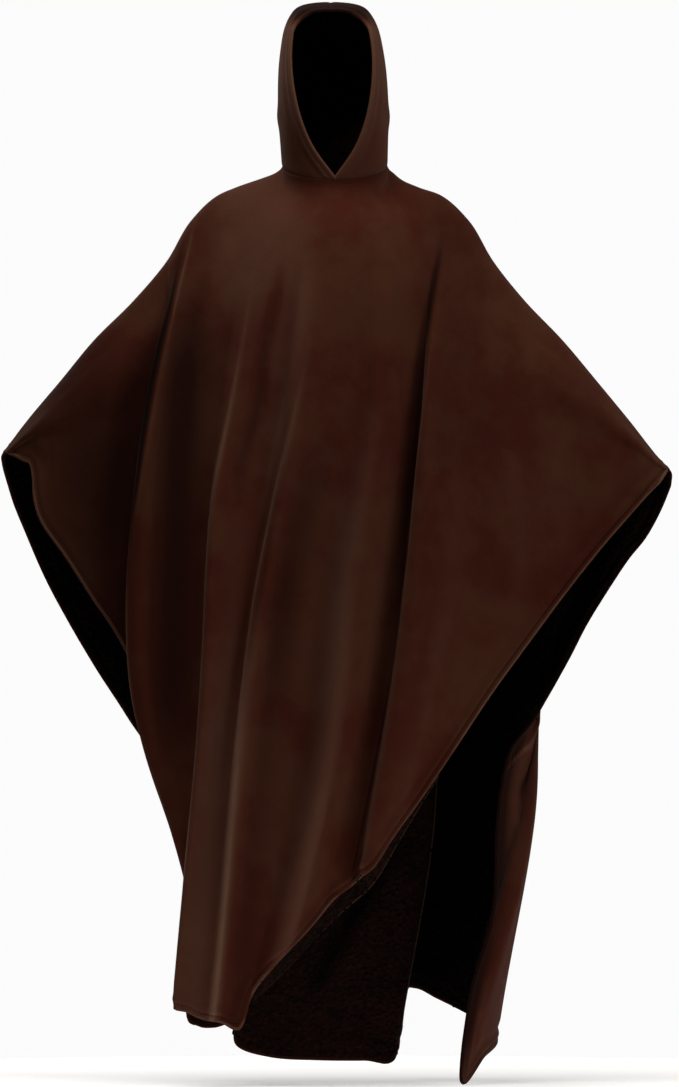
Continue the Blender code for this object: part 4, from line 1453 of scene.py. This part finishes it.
def curl_share(surface, cover):
    """How thickly the curls stand on each point of a lining, before the places that they keep clear of."""
    return cover.inside + cover.more * (1 - smooth_step((surface.edge - cover.width) / cover.fade))


def curl_clear(surface):
    """0 at a lining's seams and edge, where no curls stand, and 1 a little way off."""
    from_seam = smooth_step((surface.seam_gap - CURL_SEAM_GAP) / CURL_SEAM_FADE)
    return from_seam * smooth_step((surface.edge - CURL_EDGE_GAP) / CURL_EDGE_FADE)


def panel_curls(surface, side):
    """How thickly the curls stand on a panel's lining: most of all where the back shows below the front."""
    share = curl_share(surface, PANEL_COVER)
    if side > 0:
        hanging = [fold for fold in FRONT_FOLDS if fold.name != "side valley"]
        hem = np.array([(fold.hem_x, fold.hem_z) for fold in hanging], float)
        order = np.argsort(hem[:, 0])
        below = np.interp(surface.grid[..., 0], hem[order, 0], hem[order, 1]) - surface.grid[..., 2]
        share = np.maximum(share, smooth_step((below + HEM_COVER) / HEM_COVER_FADE))
        share *= smooth_step(np.abs(surface.top - PLEAT_TOP) / PLEAT_CLEAR)[:, None]
    return share * curl_clear(surface)


def dropped(surface, cloth):
    """A lining's surface as it hangs a little off the fleece, but not beside the seams and the edge."""
    away = cloth.lining_drop / MM * smooth_step(surface.seam_gap / DROP_CALM)
    away = away * smooth_step(surface.edge / DROP_CALM)
    return surface._replace(grid=surface.grid - surface.normals * away[..., None])


def pile_curls(name, cover, spacing, curl, seed, pile):
    """Curls of pile where a mesh's pile attribute says."""
    numbers = {"Spacing": spacing, "Curl": curl, "Seed": seed}
    return grown(name, cover, curl_tree(pile_finish(pile)), numbers)


def edge_roll(name, path, up, rubbing_and_painted_light, radius, fleece):
    """The rolled outer edge along a path."""
    line = line_mesh(name + "_edge_line", path, up, rubbing_and_painted_light)
    return grown(name + "_edge_roll", line, roll_tree(fleece_finish(fleece)), {"Radius": radius})


def plies(name, fine, plain, marks, curl, sizes):
    """Makes a shell, its lining with the marks on its points, and the lining's curls."""
    cloth, fleece, pile, stitch = sizes
    gap = PLY_GAP / 2
    shell = ply(
        name + "_shell_cloth", fine, gap + cloth.shell_thick / MM, gap, fleece_finish(fleece),
        {"crest": fine.crest})
    lining = ply(
        name + "_lining_cloth", plain, -gap - cloth.lining_thick / MM, -gap, pile_finish(pile), marks)
    curls = pile_curls(
        name + "_pile_curls", lining.data.copy(), pile.spacing, curl, CURL_SEEDS[name], pile)
    return shell, lining, curls


def lined_panel(name, folds, creases, side, sizes):
    """Makes a front or back panel with everything on it."""
    cloth, fleece, pile, stitch = sizes
    fine = panel_surface(folds, creases, side, cloth.shell_cell, cloth.crease_depth, stitch.inset)
    plain = panel_surface(folds, creases, side, cloth.lining_cell, cloth.crease_depth, stitch.inset)
    plain = dropped(plain, cloth)
    marks = {"pile": panel_curls(plain, side), "crest": lining_shade(plain, side)}
    shell, lining, curls = plies(name, fine, plain, marks, pile.curl, sizes)
    path, up = edge_path(fine, ROLL_INSET, ROLL_LIFT)
    # The roll's tone: wear and a painted highlight on the front, painted shade on the back
    leftwards = smooth_step((path[:, 0] - ROLL_LEFT) / ROLL_LEFT_FADE)
    rubbing_and_painted_light = ROLL_WEAR_AND_LIGHT[side].start + ROLL_WEAR_AND_LIGHT[side].more * leftwards
    roll = edge_roll(name, path, up, rubbing_and_painted_light, cloth.edge_roll, fleece)
    path, up = inset_path(fine, stitch.inset / MM, PLY_GAP / 2 + cloth.shell_thick / MM + STITCH_LIFT)
    stitches = grown(
        name + "_topstitch", line_mesh(name + "_stitch_line", path, up), stitch_tree(thread_finish(stitch)),
        {"Stitch": stitch.length, "Gap": stitch.gap, "Thread": stitch.thread})
    for piece, slot in ((curls, "pile_lining"), (roll, "fleece_shell"), (stitches, "fleece_shell")):
        declare(piece)
    shown_pile = slanting_strip(name, fine, pile) if side < 0 else pleat_line(name, fine, pile)
    declare(shell, name + "_shell", (roll, stitches))
    declare(lining, name + "_lining", [curls] + shown_pile)


def slanting_strip(name, surface, pile):
    """Makes the strip of lining beyond the front's slanting edge, its curls and its line with a painted
    highlight.
    """
    turned = turned_strip(surface)
    strip = ply(
        name + "_turned_lining", turned, TURNED_THICK / 2, -TURNED_THICK / 2, pile_finish(pile),
        {"pile": np.ones(turned.edge.shape), "crest": turned.crest})
    curls = pile_curls(
        name + "_turned_curls", strip.data.copy(), pile.spacing * TURNED_SPACING, pile.curl * TURNED_CURL,
        CURL_SEEDS["strip"], pile)
    declare(strip)
    declare(curls)
    # A painted highlight along the strip's outer line
    worn = STRIP_LINE_HIGHLIGHT * smooth_step((turned.top - STRIP_LINE_FROM) / STRIP_LINE_FADE)
    outer, up = turned.grid[:, -1], turned.normals[:, -1]
    return [strip, curls] + pile_line(name + "_turned_line", outer, up, STRIP_LINE_RADIUS * MM, worn, pile)


def pleat_line(name, surface, pile):
    """Makes the line of pile on the fold of the back panel's inner pleat, pale with a painted highlight."""
    return pile_line(name + "_pleat_line", *pleat_path(surface), PLEAT_LINE_RADIUS * MM, 1.0, pile)


def pile_line(name, path, up, radius, worn, pile):
    """A soft line of pile along a path, with small curls on it."""
    line = grown(
        name, line_mesh(name + "_line", path, up, worn), roll_tree(pile_finish(pile)), {"Radius": radius})
    cover = line.data.copy()
    mark_points(cover, "pile", np.ones(len(cover.vertices)))
    curls = pile_curls(
        name + "_curls", cover, pile.spacing * LINE_SPACING, max(LINE_CURL * radius, LINE_CURL_LEAST),
        CURL_SEEDS["line"], pile)
    for piece in (line, curls):
        declare(piece)
    return [line, curls]


def turned_strip(surface):
    """The surface of the lining that shows beyond the front's slanting edge, widest near the hem corner."""
    places = [entry.top for entry in TURNED_STRIP]
    shown = np.flatnonzero((surface.top > places[0]) & (surface.top < places[-1]))
    shown = shown[:len(shown) - 1 + len(shown) % 2]
    width = np.interp(surface.top[shown], places, [entry.width for entry in TURNED_STRIP])
    edge, up = surface.grid[shown, -1], unit(smoothed(surface.normals[shown, -1], TURNED_UP_PASSES))
    outwards = unit(np.cross(np.gradient(smoothed(edge, TURNED_EDGE_PASSES), axis=0), up))
    outwards *= np.sign(np.sum(outwards * (edge - surface.grid[shown, INNER_ROW])))
    outwards = unit(smoothed(outwards, TURNED_OUT_PASSES))
    down = outwards * math.cos(TURNED_ANGLE) - up * math.sin(TURNED_ANGLE)
    outer = smoothed(edge - up * TURNED_SUNK + down * width[:, None], TURNED_LINE_PASSES)
    across = np.linspace(-TURNED_TUCK, 1, TURNED_COLUMNS)[None, :, None]
    grid = (edge - up * TURNED_SUNK)[:, None] * (1 - across) + outer[:, None] * across
    facing = unit(outwards * math.sin(TURNED_ANGLE) + up * math.cos(TURNED_ANGLE))
    normals = np.repeat(facing[:, None], TURNED_COLUMNS, axis=1)
    blank = np.zeros(grid.shape[:2])
    return Surface(grid, normals, blank, blank - TURNED_SHADE, surface.top[shown], blank, blank)


def pleat_path(surface):
    """The path along the fold of the back panel's inner pleat, with its normals."""
    column = int(np.argmin(np.abs(surface.top - PLEAT_TOP)))
    rows = surface.rows[column] > PLEAT_START
    up = -surface.normals[column, rows]
    return surface.grid[column, rows] + up * (PLY_GAP / 2 + PLEAT_LIFT), up


def all_sizes(context):
    """The settings of the cloth and of its finishes."""
    scene = context.scene
    return scene.blanket_cloth, scene.blanket_fleece, scene.blanket_pile, scene.blanket_stitch


class BLANKET_OT_front(bpy.types.Operator):
    """Make the front panel: fleece shell, pile lining, rolled edge and topstitching"""

    bl_idname = "blanket.front"
    bl_label = "Front Panel"

    def execute(self, context):
        lined_panel("front", FRONT_FOLDS, FRONT_CREASES, -1, all_sizes(context))
        return {"FINISHED"}


class BLANKET_OT_back(bpy.types.Operator):
    """Make the back panel: fleece shell, pile lining, rolled edge and topstitching"""

    bl_idname = "blanket.back"
    bl_label = "Back Panel"

    def execute(self, context):
        lined_panel("back", BACK_FOLDS, BACK_CREASES, 1, all_sizes(context))
        return {"FINISHED"}


class BLANKET_OT_hood(bpy.types.Operator):
    """Make both halves of the lined hood, with its rolled brim"""

    bl_idname = "blanket.hood"
    bl_label = "Hood"

    def execute(self, context):
        sizes = all_sizes(context)
        cloth, fleece, pile, stitch = sizes
        for name, sign in (("hood_right", -1), ("hood_left", 1)):
            fine = hood_surface(HOOD_SECTIONS, sign, cloth.shell_cell, cloth.crease_depth, stitch.inset)
            plain = hood_surface(HOOD_SECTIONS, sign, cloth.lining_cell, cloth.crease_depth, stitch.inset)
            plain = dropped(plain, cloth)
            marks = {"pile": curl_share(plain, HOOD_COVER) * curl_clear(plain)}
            shell, lining, curls = plies(name, fine, plain, marks, pile.curl * HOOD_CURL, sizes)
            brim = np.vstack([fine.grid[:-1, 0], fine.grid[-1, :]])
            up = np.vstack([fine.normals[:-1, 0], fine.normals[-1, :]])
            # The brim roll: wear and a painted highlight, and painted shade towards the top
            shade = smooth_step((brim[:, 2] - HOOD_SHADE) / BRIM_ROLL_RISE)
            rubbing_and_painted_light = BRIM_ROLL_WEAR_AND_LIGHT - BRIM_ROLL_SHADE * shade
            roll = edge_roll(name, brim + up * ROLL_LIFT, up, rubbing_and_painted_light, cloth.edge_roll * HOOD_ROLL, fleece)
            declare(curls)
            declare(roll)
            declare(shell, name + "_shell", (roll,))
            declare(lining, name + "_lining", (curls,))
        return {"FINISHED"}


def pale_floor(look):
    """Makes the round pale floor just below the garment."""
    finish, tree, shader, place = new_finish("stage_pale")
    pale = tuple(look.pale)
    tree.fill(shader, {
        "Base Color": tree.mixed(tree.noise(place, 0.7), pale, dimmed(pale, 0.985)),
        "Roughness": 0.95,
        "Specular IOR Level": 0.1,
        "Emission Color": pale,
        "Emission Strength": look.floor_glow,
    })
    low = CAD_BOX[0][2] - FLOOR_GAP
    turns = [2 * math.pi * k / FLOOR_SIDES for k in range(FLOOR_SIDES)]
    points = [(look.reach * math.cos(turn), look.reach * math.sin(turn), low) for turn in turns]
    mesh = bpy.data.meshes.new("stage_floor")
    mesh.from_pydata(points, [], [list(range(FLOOR_SIDES))])
    mesh.materials.append(finish)
    floor = bpy.data.objects.new("stage_floor", mesh)
    bpy.context.scene.collection.objects.link(floor)


def pale_surround(look):
    """Makes the surround: pale where the camera sees it, and a faint light on the garment."""
    world = bpy.data.worlds.new("stage_world")
    world.use_nodes = True
    sky = Tree(world.node_tree)
    seen = sky.node("ShaderNodeLightPath")["Is Camera Ray"]
    around = (look.ambient, look.ambient, look.ambient, 1.0)
    shown = (look.surround, look.surround, look.surround, 1.0)
    sky.fill(world.node_tree.nodes["Background"], {"Color": sky.mixed(seen, around, shown)})
    bpy.context.scene.world = world


def soft_light(row, strength):
    """Makes one light of the table."""
    light = bpy.data.lights.new(row.name, row.kind)
    light.energy = strength
    light.color = LIGHT_COLOUR
    for key, value in LIGHT_FORMS[row.kind].items():
        setattr(light, key, value)
    made = bpy.data.objects.new(row.name, light)
    made.location = row.place
    aim = Vector(LIGHT_AIMS[row.kind]) - Vector(row.place)
    made.rotation_euler = aim.to_track_quat("-Z", "Y").to_euler()
    bpy.context.scene.collection.objects.link(made)


def photo_camera(distance):
    """Makes the camera: level, square to the front, with the photograph's frame."""
    camera = bpy.data.cameras.new("photo_camera")
    camera.sensor_fit = "VERTICAL"
    camera.sensor_height = 36.0
    scale = PHOTO_PIXEL * MM
    width, height = PHOTO_SIZE
    camera.lens = camera.sensor_height * distance / (height * scale)
    camera.clip_end = 200.0
    made = bpy.data.objects.new("photo_camera", camera)
    right = (width / 2 - PHOTO_ORIGIN[0]) * scale
    up = (PHOTO_ORIGIN[1] - height / 2) * scale
    made.location = (right, -distance, up)
    made.rotation_euler = (math.pi / 2, 0.0, 0.0)
    bpy.context.scene.collection.objects.link(made)
    bpy.context.scene.camera = made


class BLANKET_OT_stage(bpy.types.Operator):
    """Make the pale floor, the soft lights and the camera"""

    bl_idname = "blanket.stage"
    bl_label = "Stage"

    def execute(self, context):
        look = context.scene.blanket_stage
        pale_floor(look)
        pale_surround(look)
        for row in LIGHTS:
            soft_light(row, getattr(look, row.setting) * row.share)
        photo_camera(look.distance)
        context.scene.view_settings.view_transform = "Standard"
        return {"FINISHED"}


class BLANKET_PT_panel(bpy.types.Panel):
    bl_label = "Hooded Blanket"
    bl_idname = "BLANKET_PT_panel"
    bl_space_type = "VIEW_3D"
    bl_region_type = "UI"
    bl_category = "Blanket"

    def draw(self, context):
        for operator in OPERATORS:
            self.layout.operator(operator.bl_idname)
        for label, group in GROUPS.items():
            box = self.layout.box()
            box.label(text=group.__doc__)
            for name in group.__annotations__:
                box.prop(getattr(context.scene, label), name)


GROUPS = {
    "blanket_cloth": BlanketCloth,
    "blanket_fleece": BlanketFleece,
    "blanket_pile": BlanketPile,
    "blanket_stitch": BlanketStitch,
    "blanket_stage": BlanketStage,
}
OPERATORS = (BLANKET_OT_front, BLANKET_OT_back, BLANKET_OT_hood, BLANKET_OT_stage)


def register():
    """Adds the settings, the operators and the panel."""
    for label, group in GROUPS.items():
        bpy.utils.register_class(group)
        setattr(bpy.types.Scene, label, bpy.props.PointerProperty(type=group))
    for operator in OPERATORS:
        bpy.utils.register_class(operator)
    bpy.utils.register_class(BLANKET_PT_panel)


def unregister():
    """Takes the panel, the operators and the settings away again."""
    bpy.utils.unregister_class(BLANKET_PT_panel)
    for operator in reversed(OPERATORS):
        bpy.utils.unregister_class(operator)
    for label, group in GROUPS.items():
        delattr(bpy.types.Scene, label)
        bpy.utils.unregister_class(group)


def main():
    """Makes every piece and the stage."""
    register()
    bpy.ops.blanket.front()
    bpy.ops.blanket.back()
    bpy.ops.blanket.hood()
    bpy.ops.blanket.stage()


if __name__ == "__main__":
    main()
